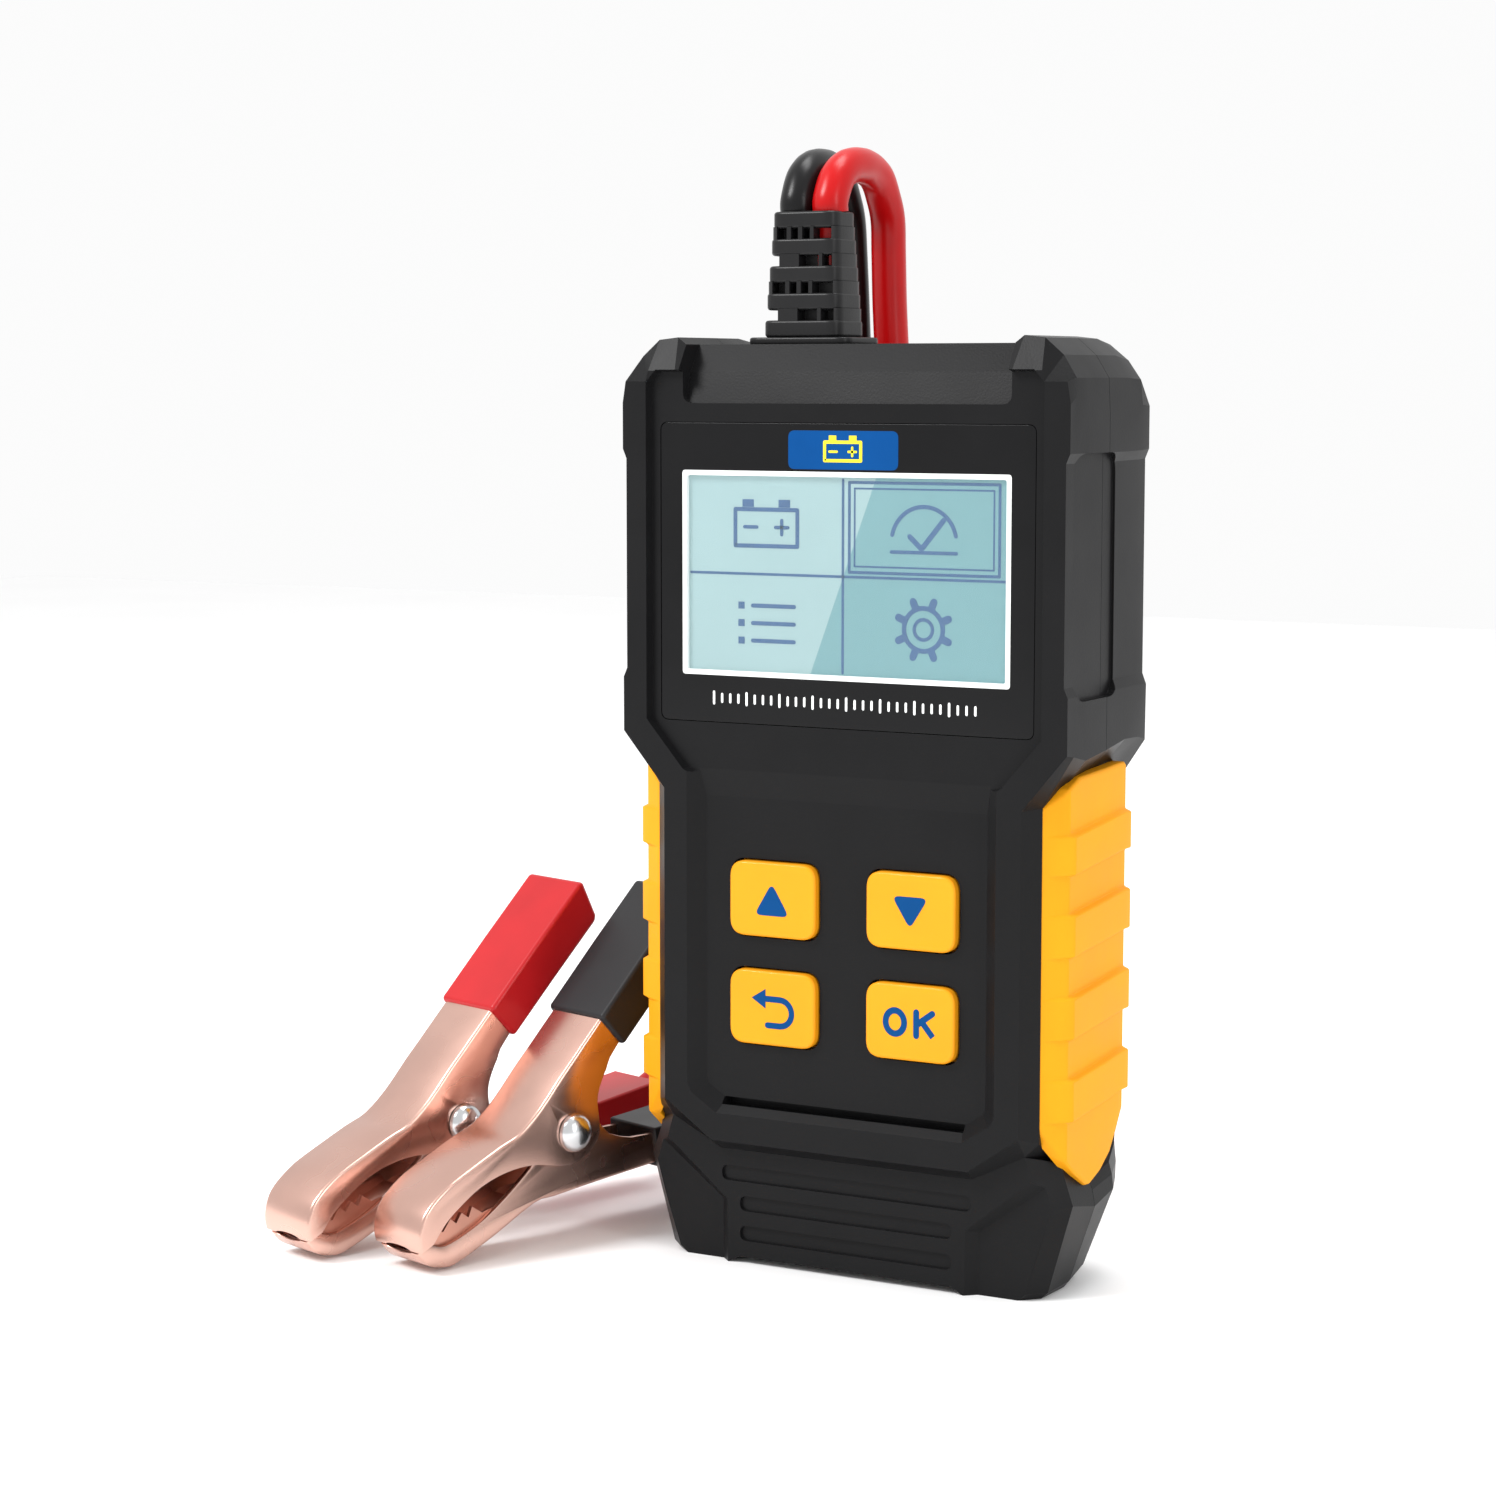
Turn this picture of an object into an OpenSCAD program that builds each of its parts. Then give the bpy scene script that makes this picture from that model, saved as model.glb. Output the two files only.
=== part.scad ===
// Handheld battery tester with a colour display, four keys and two clamp leads.
// Millimetres. The origin is under the middle of the case, on the surface that it stands on.
// The front faces -Y, +X is to the right and +Z is up.

/* [Case] */
// Width of the screen section across its side faces
case_w = 82.6; // [82:0.2:83.2]
// Depth from the front frame to the back cover
case_d = 35; // [34.6:0.1:35.4]
// Height of the corner bumpers above the feet
case_h = 161; // [160.8:0.1:161.4]
// Height of the flat top, where the strain relief stands
top_z = 159.8; // [159.6:0.1:160]
// Distance from the front frame to the joint between the two shells
split_d = 16; // [15.6:0.1:16.4]
// Wall thickness of both shells
wall = 2.4; // [2.2:0.1:2.6]

/* [Front details] */
// Depth of the sunken panel inside the raised frame
panel_sink = 1.6; // [1.4:0.1:1.8]
// Depth of the keypad field, below the raised frame
keypad_sink = 2.4; // [2.2:0.1:2.6]
// Depth of the chin between the feet
chin_sink = 2.9; // [2.7:0.1:3.1]
// Half width of the window lens
lens_hw = 35.4; // [35:0.1:35.6]
// Thickness of the window lens
lens_t = 1.5; // [1.4:0.1:1.6]
// Half width of the opening for the display
view_hw = 31; // [30.6:0.1:31.4]

/* [Keys] */
// Width of a key
key_w = 16.7; // [16.4:0.1:16.8]
// Height of a key
key_h = 13; // [12.6:0.1:13.2]
// How far a key goes in when it is pressed
key_travel = 0.8; // [0.6:0.1:0.9]
// Gap all round a key
key_gap = 0.3; // [0.25:0.05:0.4]

/* [Leads] */
// Diameter of the silicone lead
lead_d = 6.2; // [6:0.1:6.3]
// Radius of the black coil, at the middle of its turns
black_coil_r = 31; // [30.8:0.1:31]
// Radius of the red coil, at the middle of its turns
red_coil_r = 37.2; // [37.2:0.1:37.4]

/* [Clamps] */
// Width of a clamp across its upper cheeks
clamp_w = 13.5; // [13.3:0.1:13.7]
// Thickness of the pressed steel
sheet = 1; // [0.9:0.1:1.1]
// Side gap between the upper and the lower cheeks
cheek_gap = 0.25; // [0.2:0.05:0.3]
// Radius of the rivet that the jaws turn on
rivet_r = 2; // [1.9:0.1:2.1]
// Running clearance of the upper jaw on the rivet
rivet_play = 0.05; // [0.03:0.01:0.08]

/* [Hidden] */
$fn = 48;

// Case heights and half widths, from the feet up
front = -case_d / 2;
back = case_d / 2;
split_y = front + split_d;
hw = case_w / 2;
bulge_hw = hw + 0.8;
waist_hw = 33.9;
waist_side = 36.2;
panel_hw = 37;
pad_hw = 29.4;
screen_z = [103.4, 138.4];
lens_z = [95.1, 146.6];
shoulder_z = 93;
waist_top = 84.2;
chin_z = 28.6;
groove_z = 22.1;
foot_top = 26.6;
pad_sink = chin_sink + 1.7;
key_x = 13.2;
key_z = [46.1, 65];
floor_y = front + keypad_sink + 2;
board_y = front + 12;
board_t = 1.6;

// Mirror a right-hand outline to make it whole
function whole(h) = concat(h, [for (i = [len(h) - 1:-1:0]) [-h[i][0], h[i][1]]]);
// Shift an outline
function shifted(p, d) = [for (q = p) q + d];

// Outlines of the screen section and of the grip section, seen from the front
screen_half = [
    [0, top_z], [31.5, top_z], [33, case_h], [35, case_h - 0.6], [38.1, 157], [40.9, 154.1],
    [bulge_hw, 150.3], [bulge_hw, 142.2], [hw, 140.5], [hw, 104], [bulge_hw, 102.5],
    [bulge_hw, shoulder_z], [waist_hw, waist_top - 1], [0, waist_top - 1]
];
waist_half = [[0, 88.8], [38.6, 88.8], [38.6, foot_top], [0, foot_top]];
// Outline of the wider foot section, below the grips
foot_half = [
    [0, foot_top], [38.8, foot_top], [40.7, 16.5], [35.6, 1.4], [34, 0], [22, 0],
    [20.3, 1.2], [0, 1.2]
];
// Outline of a sunken pad on the front of a foot, open to the side and below
pad_recess = [[24.7, 10.9], [36.8, 20], [45, 20], [45, -1], [24.7, -1]];
// Outline of the sunken panel
panel_half = [
    [0, 155.1], [35.3, 155.1], [panel_hw, 153.2], [panel_hw, 95.4], [29.9, 87.2], [pad_hw, 85],
    [pad_hw, 31.8], [28.4, 30.3], [23.5, 26.8], [0, 26.8]
];
// Outline of the chin, below the raised frame
chin_half = [[0, groove_z], [24.6, groove_z], [waist_hw, chin_z], [45, chin_z], [45, -1], [0, -1]];
// Outline of the space inside both shells
room_half = [
    [0, 154.5], [34, 154.5], [38.6, 149], [38.6, 95], [31.4, 87], [31.4, 30], [28, 6], [0, 6]
];
// Cross-sections seen from above, as half outlines in x and depth
upper_plan = [
    [0, 0], [hw, 0], [bulge_hw, 1], [bulge_hw, 27], [40, 32.5], [36.5, case_d], [0, case_d]
];
waist_plan = [
    [0, 0], [waist_hw, 0], [waist_side, 2.9], [35.2, 2.9], [36.6, 10], [38.2, 24], [38.2, 27],
    [38.6, 28], [34.5, case_d], [0, case_d]
];
foot_plan = [
    [0, 0], [33.7, 0], [40.7, 7], [40.7, 24], [37, 31], [33, case_d], [0, case_d]
];
// Cross-section of a side grip, and its ends seen from the side
grip_plan = [
    [waist_side + 0.3, 2.9], [40.4, 5.3], [41.3, 24], [41.3, 27], [38.2, 27], [38.2, 24],
    [36.6, 10], [35.2, 2.9]
];
grip_side = [
    [2.9, 29.5], [2.9, 83.5], [5.3, 87], [9.4, 88.6], [24, 89.4], [27, 89.4], [27, 28],
    [25.7, 27.5], [23.2, 20.3], [15, 18.6], [12.8, 19], [5.3, 24.3]
];

// A prism of an x-z outline, between two depths in y
module slab(pts, y0, y1) {
    translate([0, y1, 0]) rotate([90, 0, 0]) linear_extrude(y1 - y0) polygon(pts);
}
// A prism of an x-depth half outline, between two heights
module plan(half, z0, z1) {
    translate([0, 0, z0]) linear_extrude(z1 - z0) polygon(shifted(whole(half), [0, front]));
}
// A box from its low corner to its high corner
module block(lo, hi) { translate(lo) cube(hi - lo); }
// A rod along y
module rod_y(r, y0, y1) { translate([0, y0, 0]) rotate([-90, 0, 0]) cylinder(r = r, h = y1 - y0); }

// The case as one solid, before it is split and hollowed
module case_solid() {
    intersection() {
        union() {
            intersection() {
                slab(whole(screen_half), front, back);
                plan(upper_plan, waist_top - 2, case_h + 1);
            }
            intersection() {
                slab(whole(waist_half), front, back);
                plan(waist_plan, 0, 90);
            }
            intersection() {
                slab(whole(foot_half), front, back);
                plan(foot_plan, 0, foot_top);
            }
        }
        // The back cover leans in at the top and the bottom
        translate([-60, 0, 0]) rotate([90, 0, 90]) linear_extrude(120) polygon([
            [front, -1], [front + 16, -1], [back - 9, 0], [back - 3, 8], [back, 21],
            [back, 150], [back - 3, 162], [front, 162]
        ]);
    }
}

// Screw positions, shared by both shells and the screws
shell_bosses = [[-33.5, 148], [33.5, 148], [-27, 34], [27, 34]];
module at_bosses() { for (p = shell_bosses) translate([p[0], 0, p[1]]) children(); }

module key_hole(x, z) {
    block([x - key_w / 2 - key_gap, front - 1, z - key_h / 2 - key_gap],
        [x + key_w / 2 + key_gap, floor_y + 1, z + key_h / 2 + key_gap]);
}

module front_shell() {
    color("#2f2f2f") {
        difference() {
            intersection() {
                case_solid();
                block([-60, front - 1, -1], [60, split_y, 170]);
            }
            slab(whole(panel_half), front - 1, front + panel_sink);
            // The top pad slopes back from its crease to the flat top
            translate([-30.9, 0, 0]) rotate([90, 0, 90]) linear_extrude(61.8) polygon([
                [front - 1, 149.8], [front + 2.6, 149.8], [front + 4.3, 155.1],
                [front + 7.5, top_z + 0.1], [front + 7.5, 170], [front - 1, 170]
            ]);
            slab(whole([[0, 87], [29.2, 87], [26.4, 82], [26.4, 33], [24, 30.5], [0, 30.5]]),
                front - 1, front + keypad_sink);
            slab(whole(chin_half), front - 1, front + chin_sink);
            chin_slots();
            for (s = [0, 1]) mirror([s, 0, 0]) slab(pad_recess, front - 1, front + pad_sink);
            both_grips();
            // Seat for the lens and the opening behind it
            block([-lens_hw, front, lens_z[0]], [lens_hw, front + panel_sink + lens_t, lens_z[1]]);
            block([-view_hw, front, screen_z[0]], [view_hw, front + 8, screen_z[1]]);
            for (x = [-key_x, key_x], z = key_z) key_hole(x, z);
            slab(whole(room_half), front + 5.4, split_y + 1);
        }
        difference() {
            at_bosses() rod_y(3.4, front + 5, split_y);
            at_bosses() rod_y(1.4, front + 7, split_y + 1);
        }
    }
}

// Three shallow slots across the chin, each its half length and its height above the feet
chin_slot_list = [[22.7, 15.9], [19.1, 10.7], [19.1, 5.4]];
module chin_slots() {
    for (p = chin_slot_list) translate([0, front + chin_sink, p[1]]) {
        for (s = [-1, 1]) translate([s * p[0], 0, 0]) rod_y(1.35, -1, 0.6);
        block([-p[0], -1, -1.35], [p[0], 0.6, 1.35]);
    }
}

module rear_shell() {
    color("#2b2b2b") difference() {
        intersection() {
            case_solid();
            block([-60, split_y, -1], [60, 60, 170]);
        }
        intersection() {
            slab(whole(room_half), split_y - 1, back - wall);
            translate([-60, 0, 0]) rotate([90, 0, 90]) linear_extrude(120) polygon([
                [split_y - 2, 6], [back - 12, 6], [back - 5.6, 11], [back - wall, 23],
                [back - wall, 148], [back - wall - 3, 156], [split_y - 2, 156]
            ]);
        }
        // Long finger grooves in the sides of the screen section
        for (s = [-1, 1]) block([s * hw - 0.6, front + 16, 101.4], [s * hw + 2, front + 21.4, 142]);
        at_bosses() rod_y(1.7, back - 8, back + 1);
        at_bosses() rod_y(3.1, back - 1.6, back + 1);
        both_grips();
    }
    color("#2b2b2b") difference() {
        at_bosses() rod_y(3.4, split_y, back - wall);
        at_bosses() rod_y(1.7, split_y - 1, back);
    }
}

// One side grip, on the right; the left one is its mirror image
module grip_solid() {
    rib_z = [[74.7, 81.3], [61, 68], [47.2, 54.2], [33.3, 40.3]];
    intersection() {
        translate([0, front, 0]) union() {
            linear_extrude(100) polygon(grip_plan);
            for (z = rib_z) translate([0, 0, z[0]]) linear_extrude(z[1] - z[0]) polygon([
                [37.6, 3.6], [41.3, 4.9], [bulge_hw + 0.2, 24], [bulge_hw + 0.2, 26.8],
                [38.2, 26.8], [38.2, 24], [36.8, 11], [36.9, 4.5]
            ]);
        }
        translate([30, 0, 0]) rotate([90, 0, 90]) linear_extrude(20)
            polygon(shifted(grip_side, [front, 0]));
    }
}
module right_grip() { color("#fdbe3c") grip_solid(); }
module left_grip() { color("#fdbe3c") mirror([1, 0, 0]) grip_solid(); }
module both_grips() { for (s = [0, 1]) mirror([s, 0, 0]) grip_solid(); }

module window_lens() {
    y0 = front + panel_sink;
    color("#242424") block([-lens_hw + 0.1, y0, lens_z[0] + 0.1],
        [lens_hw - 0.1, y0 + lens_t, lens_z[1] - 0.1]);
}
lcd_y = front + panel_sink + lens_t;
module lcd_glass() {
    color("#a0d2d6") block([-view_hw + 0.4, lcd_y, screen_z[0] + 0.4],
        [view_hw - 0.4, lcd_y + 1.4, screen_z[1] - 0.4]);
}
module backlight_panel() {
    color("#f4f6f0") block([-view_hw + 0.6, lcd_y + 1.4, screen_z[0] + 0.6],
        [view_hw - 0.6, lcd_y + 3, screen_z[1] - 0.6]);
}
module lcd_frame() {
    color("#d9d9d6") difference() {
        block([-34, lcd_y + 2.4, 97], [34, board_y, 142]);
        block([-view_hw + 0.4, lcd_y - 1, screen_z[0] + 0.4], [view_hw - 0.4, lcd_y + 3, screen_z[1] - 0.4]);
        block([-30, lcd_y, 104], [30, board_y - 1.2, 137]);
        block([-20, lcd_y, 90], [20, board_y + 1, 104.5]);
    }
}
module lcd_ribbon() {
    color("#c88a3a") {
        block([-12, lcd_y + 3, 90], [12, lcd_y + 3.2, 105]);
        block([-12, lcd_y + 3.2, 90], [12, board_y, 90.4]);
    }
}
module main_board() {
    color("#1f6b3a") difference() {
        slab(whole([[0, 146], [29.5, 146], [37.4, 141], [37.4, 97], [30.4, 88], [30.4, 30],
            [27.4, 12], [0, 12]]),
            board_y, board_y + board_t);
        for (x = [-27, 27]) translate([x, 0, 34]) rod_y(4, board_y - 1, board_y + 3);
        for (p = board_holes) translate([p[0], 0, p[1]]) rod_y(1.25, board_y - 1, board_y + 3);
    }
}
board_holes = [[-26, 92], [26, 92], [-20, 16], [20, 16]];
module board_screws() {
    color("#b8bcc0") for (p = board_holes) translate([p[0], 0, p[1]]) {
        rod_y(1.2, board_y - 3, board_y + board_t);
        rod_y(2.2, board_y + board_t, board_y + board_t + 1.3);
    }
}
module shell_screws() {
    color("#8c9094") at_bosses() difference() {
        union() {
            rod_y(1.35, front + 8, back - 1.6);
            rod_y(2.9, back - 1.6, back - 0.2);
        }
        for (a = [0, 90]) rotate([0, a, 0]) block([-1.8, back - 1, -0.3], [1.8, back, 0.3]);
    }
}
// The silicone mat that returns the keys, with a dome hole behind each one
mat_y = front + 6.5 + key_travel + 0.2;
module key_mat() {
    color("#8f8f8f") difference() {
        block([-25, mat_y, 38], [25, mat_y + 0.8, 73]);
        for (x = [-key_x, key_x], z = key_z) translate([x, 0, z]) rod_y(4, mat_y - 1, mat_y + 2);
    }
}
module key_switches() {
    color("#303236") for (x = [-key_x, key_x], z = key_z) translate([x, 0, z]) {
        block([-3, board_y - 1.6, -3], [3, board_y, 3]);
        rod_y(1.7, board_y - 2, board_y - 1.6);
    }
}
// A key is a cap with a flange behind the front wall and a stem over its switch
module key_cap(x, z) {
    cap_y = front + 1.1;
    color("#ffc832") translate([x, 0, z]) {
        rounded_key(cap_y, front + 5.7);
        block([-key_w / 2 - 1.2, front + 5.7, -key_h / 2 - 1.2],
            [key_w / 2 + 1.2, front + 6.5, key_h / 2 + 1.2]);
        rod_y(2, front + 6.5, board_y - 2 - key_travel - 0.15);
    }
}
// A block with rounded corners, seen from the front
module rounded_key(y0, y1) {
    r = 2.6;
    x = key_w / 2 - r;
    z = key_h / 2 - r;
    block([-x, y0, -z - r], [x, y1, z + r]);
    block([-x - r, y0, -z], [x + r, y1, z]);
    for (i = [-x, x], k = [-z, z]) translate([i, 0, k]) rod_y(r, y0, y1);
}
module key_up() { key_cap(-key_x, key_z[1]); }
module key_down() { key_cap(key_x, key_z[1]); }
module key_back() { key_cap(-key_x, key_z[0]); }
module key_ok() { key_cap(key_x, key_z[0]); }

// Parts on the back of the board
comp_y = board_y + board_t;
module microcontroller() { color("#202225") block([-7, comp_y, 72], [7, comp_y + 1.6, 86]); }
module signal_chips() {
    color("#26282c") for (p = [[-20, 62], [-20, 74], [16, 56]])
        block([p[0] - 3, comp_y, p[1] - 2], [p[0] + 3, comp_y + 1.5, p[1] + 2]);
}
module load_resistors() {
    color("#e6e2d6") for (i = [0:2])
        block([-24 + 10 * i, comp_y + 0.5, 104], [-17 + 10 * i, comp_y + 8.5, 128]);
}
module load_transistors() {
    color("#232323") for (x = [12, 24])
        block([x - 5, comp_y + 0.8, 106], [x + 5, comp_y + 5.3, 121]);
}
module heat_sink() {
    color("#a9adb1") difference() {
        block([6, comp_y + 5.3, 104], [32, comp_y + 13, 132]);
        for (i = [0:4]) block([8 + 5 * i, comp_y + 7, 103], [10.6 + 5 * i, comp_y + 14, 133]);
    }
}
module capacitors() {
    color("#3a5f8f") for (p = [[-17, 92, 4], [19, 73, 5], [19, 85, 5]])
        translate([p[0], 0, p[1]]) rod_y(p[2], comp_y, comp_y + 11);
}
module buzzer() { color("#1c1c1c") translate([-8, 0, 52]) rod_y(6, comp_y, comp_y + 7.5); }
lead_x = [-16.8, -10.5];
module lead_terminals() {
    color("#c7a34a") for (x = lead_x) block([x - 2.8, comp_y, 136], [x + 2.8, comp_y + 6, 142]);
}
module inner_wires() {
    color("#b01818") for (x = lead_x) {
        translate([x, -0.5, 142]) cylinder(d = 4, h = 12.5);
    }
}
module cord_anchor() {
    color("#3a3a3a") difference() {
        block([-22, comp_y + 0.6, 147], [-5.5, back - wall - 1.3, 151]);
        for (x = lead_x) translate([x, -0.5, 146]) cylinder(d = 4, h = 6);
    }
}

relief_x = -13.7;
relief_y = -0.5;
relief_h = 21.5;
module relief_ring(w, d, z0, z1) {
    r = 2.5;
    translate([relief_x, relief_y, z0]) {
        translate([-w / 2 + r, -d / 2, 0]) cube([w - 2 * r, d, z1 - z0]);
        translate([-w / 2, -d / 2 + r, 0]) cube([w, d - 2 * r, z1 - z0]);
        for (x = [-1, 1], y = [-1, 1])
            translate([x * (w / 2 - r), y * (d / 2 - r), 0]) cylinder(r = r, h = z1 - z0);
    }
}
// Five rings on a core, with a foot on the case
module strain_relief() {
    pitch = (relief_h - 3) / 4;
    color("#1d1d1d") {
        for (i = [0:4]) relief_ring(14.9 - 0.6 * i, 10.9 - 0.5 * i, case_h + pitch * i,
            case_h + pitch * i + 2.9);
        for (i = [0:3]) relief_ring(13.4 - 0.6 * i, 7.6 - 0.4 * i, case_h + pitch * i + 2.9,
            case_h + pitch * (i + 1));
        relief_ring(19.6, 13.4, top_z, case_h);
    }
}

// Routes of the two leads, from the strain relief, over the back and down to the coils.
// The coils lie on the surface behind the case, and a tail runs from each to its clamp.
coil_c = [-41, 85];
coil_h = 2 * lead_d;
red_route = [
    [-10.5, -0.5, 182.4], [-10.5, -0.5, 184.4], [-10.5, 1.7, 188], [-10.5, 5.2, 190.1],
    [-10.5, 9.5, 190.8],
    [-10.8, 14, 190.5], [-11, 18, 189], [-11.3, 21, 186], [-11.5, 23.3, 182],
    [-11.8, 24.3, 176], [-11.8, 25, 165], [-11, 25.5, 150], [-9, 26, 130], [-7, 26, 110],
    [-5, 26, 90], [-4, 26, 70], [-3.8, 26, 50], [-3.8, 26.5, 36], [-3.8, 28.5, 24],
    [-3.8, 33, 13], [-3.8, 40, 6], [-3.8, 50, 3.3], [-3.8, 60, 3.1], [-3.8, 72, 3.1],
    [-3.8, 80, 3.1]
];
red_tail_route = [
    [-77.5, 78.5, 9.3], [-74.5, 67, 9.5], [-69.8, 56, 12], [-65.5, 47, 16], [-63.6, 40.5, 18.8],
    [-63.4, 35.5, 19.9], [-64.1, 31.4, 19.3], [-65.5, 27.1, 17.1]
];
black_route = [
    [-16.8, -0.5, 182.4], [-16.8, -0.5, 184.4], [-17, 1.7, 188], [-17.3, 5.2, 190.1],
    [-17.7, 9.5, 190.8],
    [-18.2, 14, 190.5], [-18.8, 18, 189], [-19.2, 21, 186], [-19.4, 23.3, 182],
    [-19.5, 24.3, 176], [-19.3, 25, 165], [-19, 25.5, 150], [-19, 26, 130], [-19.5, 26, 110],
    [-20, 26, 90], [-20.5, 26, 70], [-21, 26.5, 50], [-21.5, 29, 38], [-22, 35, 27],
    [-22.3, 44, 19.5], [-22.3, 54, 17], [-22, 63, 15.6], [-21.4, 71, 11], [-20.8, 79, 5.5],
    [-20.5, 87, 3.4], [-22.5, 96, 3.1], [-28, 103.5, 3.1], [-34.5, 107.5, 3.1]
];
black_tail_route = [
    [-71.5, 79, 10.5], [-69, 72, 12.8], [-64, 61.5, 16.3], [-57, 52, 18], [-50.5, 46.2, 19.6],
    [-45.4, 41.4, 20.7], [-42.9, 37.4, 20.5], [-42.5, 34.2, 19.3], [-43.9, 29.9, 17.1]
];

function unit(v) = v / norm(v);
// Direction of a route at its i-th point
function heading(p, i) = unit(p[min(i + 1, len(p) - 1)] - p[max(i - 1, 0)]);
// A ring of points round the i-th point of a route
function ring(p, i, r, n) =
    let (t = heading(p, i), u = unit([1, 0, 0] - t[0] * t), v = cross(t, u))
    [for (k = [0:n - 1]) p[i] + r * (cos(360 * k / n) * u + sin(360 * k / n) * v)];
// A round tube along a route
module tube(p, d) {
    n = 8;
    m = len(p);
    pts = [for (i = [0:m - 1]) each ring(p, i, d / 2, n)];
    sides = [for (i = [0:m - 2], k = [0:n - 1])
        [i * n + k, i * n + (k + 1) % n, (i + 1) * n + (k + 1) % n, (i + 1) * n + k]];
    caps = [[for (k = [n - 1:-1:0]) k], [for (k = [0:n - 1]) (m - 1) * n + k]];
    polyhedron(pts, concat([for (f = sides) [f[3], f[2], f[1], f[0]]],
        [for (c = caps) [for (i = [len(c) - 1:-1:0]) c[i]]]));
}
module coil(r) {
    translate([coil_c[0], coil_c[1], 0]) rotate_extrude($fn = 64)
        translate([r - lead_d / 2, 0]) square([lead_d, coil_h]);
}
module red_lead() { color("#e11419") tube(red_route, lead_d); }
module red_coil() { color("#e11419") coil(red_coil_r); }
module red_tail() { color("#e11419") tube(red_tail_route, lead_d); }
module black_lead() { color("#1a1a1a") tube(black_route, lead_d); }
module black_coil() { color("#1a1a1a") coil(black_coil_r); }
module black_tail() { color("#1a1a1a") tube(black_tail_route, lead_d); }

// Clamps. Each is drawn with its rivet at the origin, its nose towards -x and its
// handles towards +x, and then set down with its lower jaw on the surface.
clamp_turn = 72;
clamp_tilt = 26;
black_rivet_at = [-58.8, -16, 20.4];
red_rivet_at = [-80.4, -18.8, 20.4];
module set_down(at) {
    translate(at) rotate([0, 0, clamp_turn]) rotate([0, -clamp_tilt, 0]) children();
}
cheek = clamp_w / 2;
inner_cheek = cheek - sheet - cheek_gap;
handle_end = 41;
upper_back = [
    [-37.8, 0.6], [-37.4, 2.2], [-36.4, 4], [-34.6, 5.8], [-32.1, 6.9], [-28.4, 7.6],
    [-24.9, 7.7], [-15.2, 7.3], [-10.5, 6.9], [-4.8, 8.1], [1.6, 10.5], [6, 12], [14.3, 14.9],
    [handle_end, 24]
];
upper_belly = [
    [handle_end, 17.4], [16.2, 8.8], [11.5, 6.1], [8.5, 3.8], [6.9, 1.6], [5.7, -1.9],
    [3.9, -4.4], [0, -5.3], [-3.4, -4.7], [-6.6, -2.6], [-9.5, -0.4], [-13.1, 1.5], [-17.5, 2.9],
    [-22.1, 3.5], [-27, 3.1], [-31, 2.3], [-34.8, 0.6]
];
lower_back = [
    [-37.8, 0.2], [-37.4, -1.6], [-36.4, -3.4], [-34, -5.4], [-31.3, -6.4], [-22.4, -7],
    [-12.4, -7.1], [-8, -8.7], [0.8, -11.9], [13.1, -16.6], [handle_end, -27.2]
];
lower_belly = [
    [handle_end, -20.6], [15.6, -11.4], [8.6, -6.8], [7, -4.2], [6.2, -1], [5.4, 3], [2.4, 5.4],
    [-2.2, 5.6], [-6, 3.4], [-9.2, -0.2], [-13.4, -1.4], [-17.6, -2.2], [-22.8, -2.8],
    [-27.7, -2.7], [-32.3, -1.9], [-34.8, 0.2]
];

// A pressed channel: two cheeks, joined by a strip that follows their outer edge.
// The strip is folded inwards, which is down (-1) on the upper jaw and up (1) on the lower
module channel(outer_edge, belly, half, inwards) {
    last = len(outer_edge) - 1;
    fold = [for (i = [last:-1:0]) outer_edge[i] + (i == 0 ? [sheet, 0]
        : i == last ? [0, inwards * sheet] : [sheet / 2, inwards * sheet])];
    slab(concat(outer_edge, belly), -half, -half + sheet);
    slab(concat(outer_edge, belly), half - sheet, half);
    slab(concat(outer_edge, fold), -half, half);
}
module upper_jaw() {
    color("#d99a85") difference() {
        channel(upper_back, upper_belly, cheek, -1);
        rod_y(rivet_r + rivet_play, -cheek - 1, cheek + 1);
    }
}
module lower_jaw() {
    color("#d99a85") difference() {
        channel(lower_back, lower_belly, inner_cheek, 1);
        rod_y(rivet_r, -cheek, cheek);
    }
}
// Toothed liners, folded from thinner sheet and welded inside each jaw
module lower_teeth() {
    half = inner_cheek - sheet;
    teeth = [
        [-34.6, -1], [-33.8, 1], [-31.8, 1.5], [-31, -0.1], [-28.6, 1.1], [-27.9, -0.4],
        [-26.1, 0.6], [-25.2, -1.1], [-23.7, 0.2], [-22.4, -2], [-14, -4], [-14, -6],
        [-30.5, -5.3], [-34, -3.4]
    ];
    color("#c98b76") difference() {
        slab(teeth, -half, half);
        slab([[-40, -3.2], [-34, -3.2], [-30.5, -4.4], [-12, -5.2], [-12, 9], [-40, 9]],
            -half + 0.8, half - 0.8);
    }
}
module upper_teeth() {
    half = cheek - sheet;
    teeth = [
        [-34.4, 2.4], [-32.6, 3.4], [-31.4, 2.7], [-30, 3.7], [-28.8, 2.9], [-27.4, 3.9],
        [-26.2, 3.1], [-24.8, 4], [-23.6, 3.2], [-22.2, 4.2], [-14, 4.4], [-14, 6.2],
        [-25, 6.6], [-31.5, 5.8]
    ];
    color("#c98b76") difference() {
        slab(teeth, -half, half);
        slab([[-40, -1], [-40, 4.6], [-31.5, 5], [-25, 5.8], [-12, 5.4], [-12, -1]],
            -half + 0.8, half - 0.8);
    }
}
module rivet() {
    color("#c9cbcf") {
        rod_y(rivet_r, -cheek - 0.2, cheek + 0.2);
        for (s = [-1, 1]) intersection() {
            translate([0, s * (cheek - 1.6), 0]) sphere(r = 3.8);
            block([-4, s > 0 ? cheek + 0.2 : -cheek - 3, -4], [4, s > 0 ? cheek + 3 : -cheek - 0.2, 4]);
        }
    }
}
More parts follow.
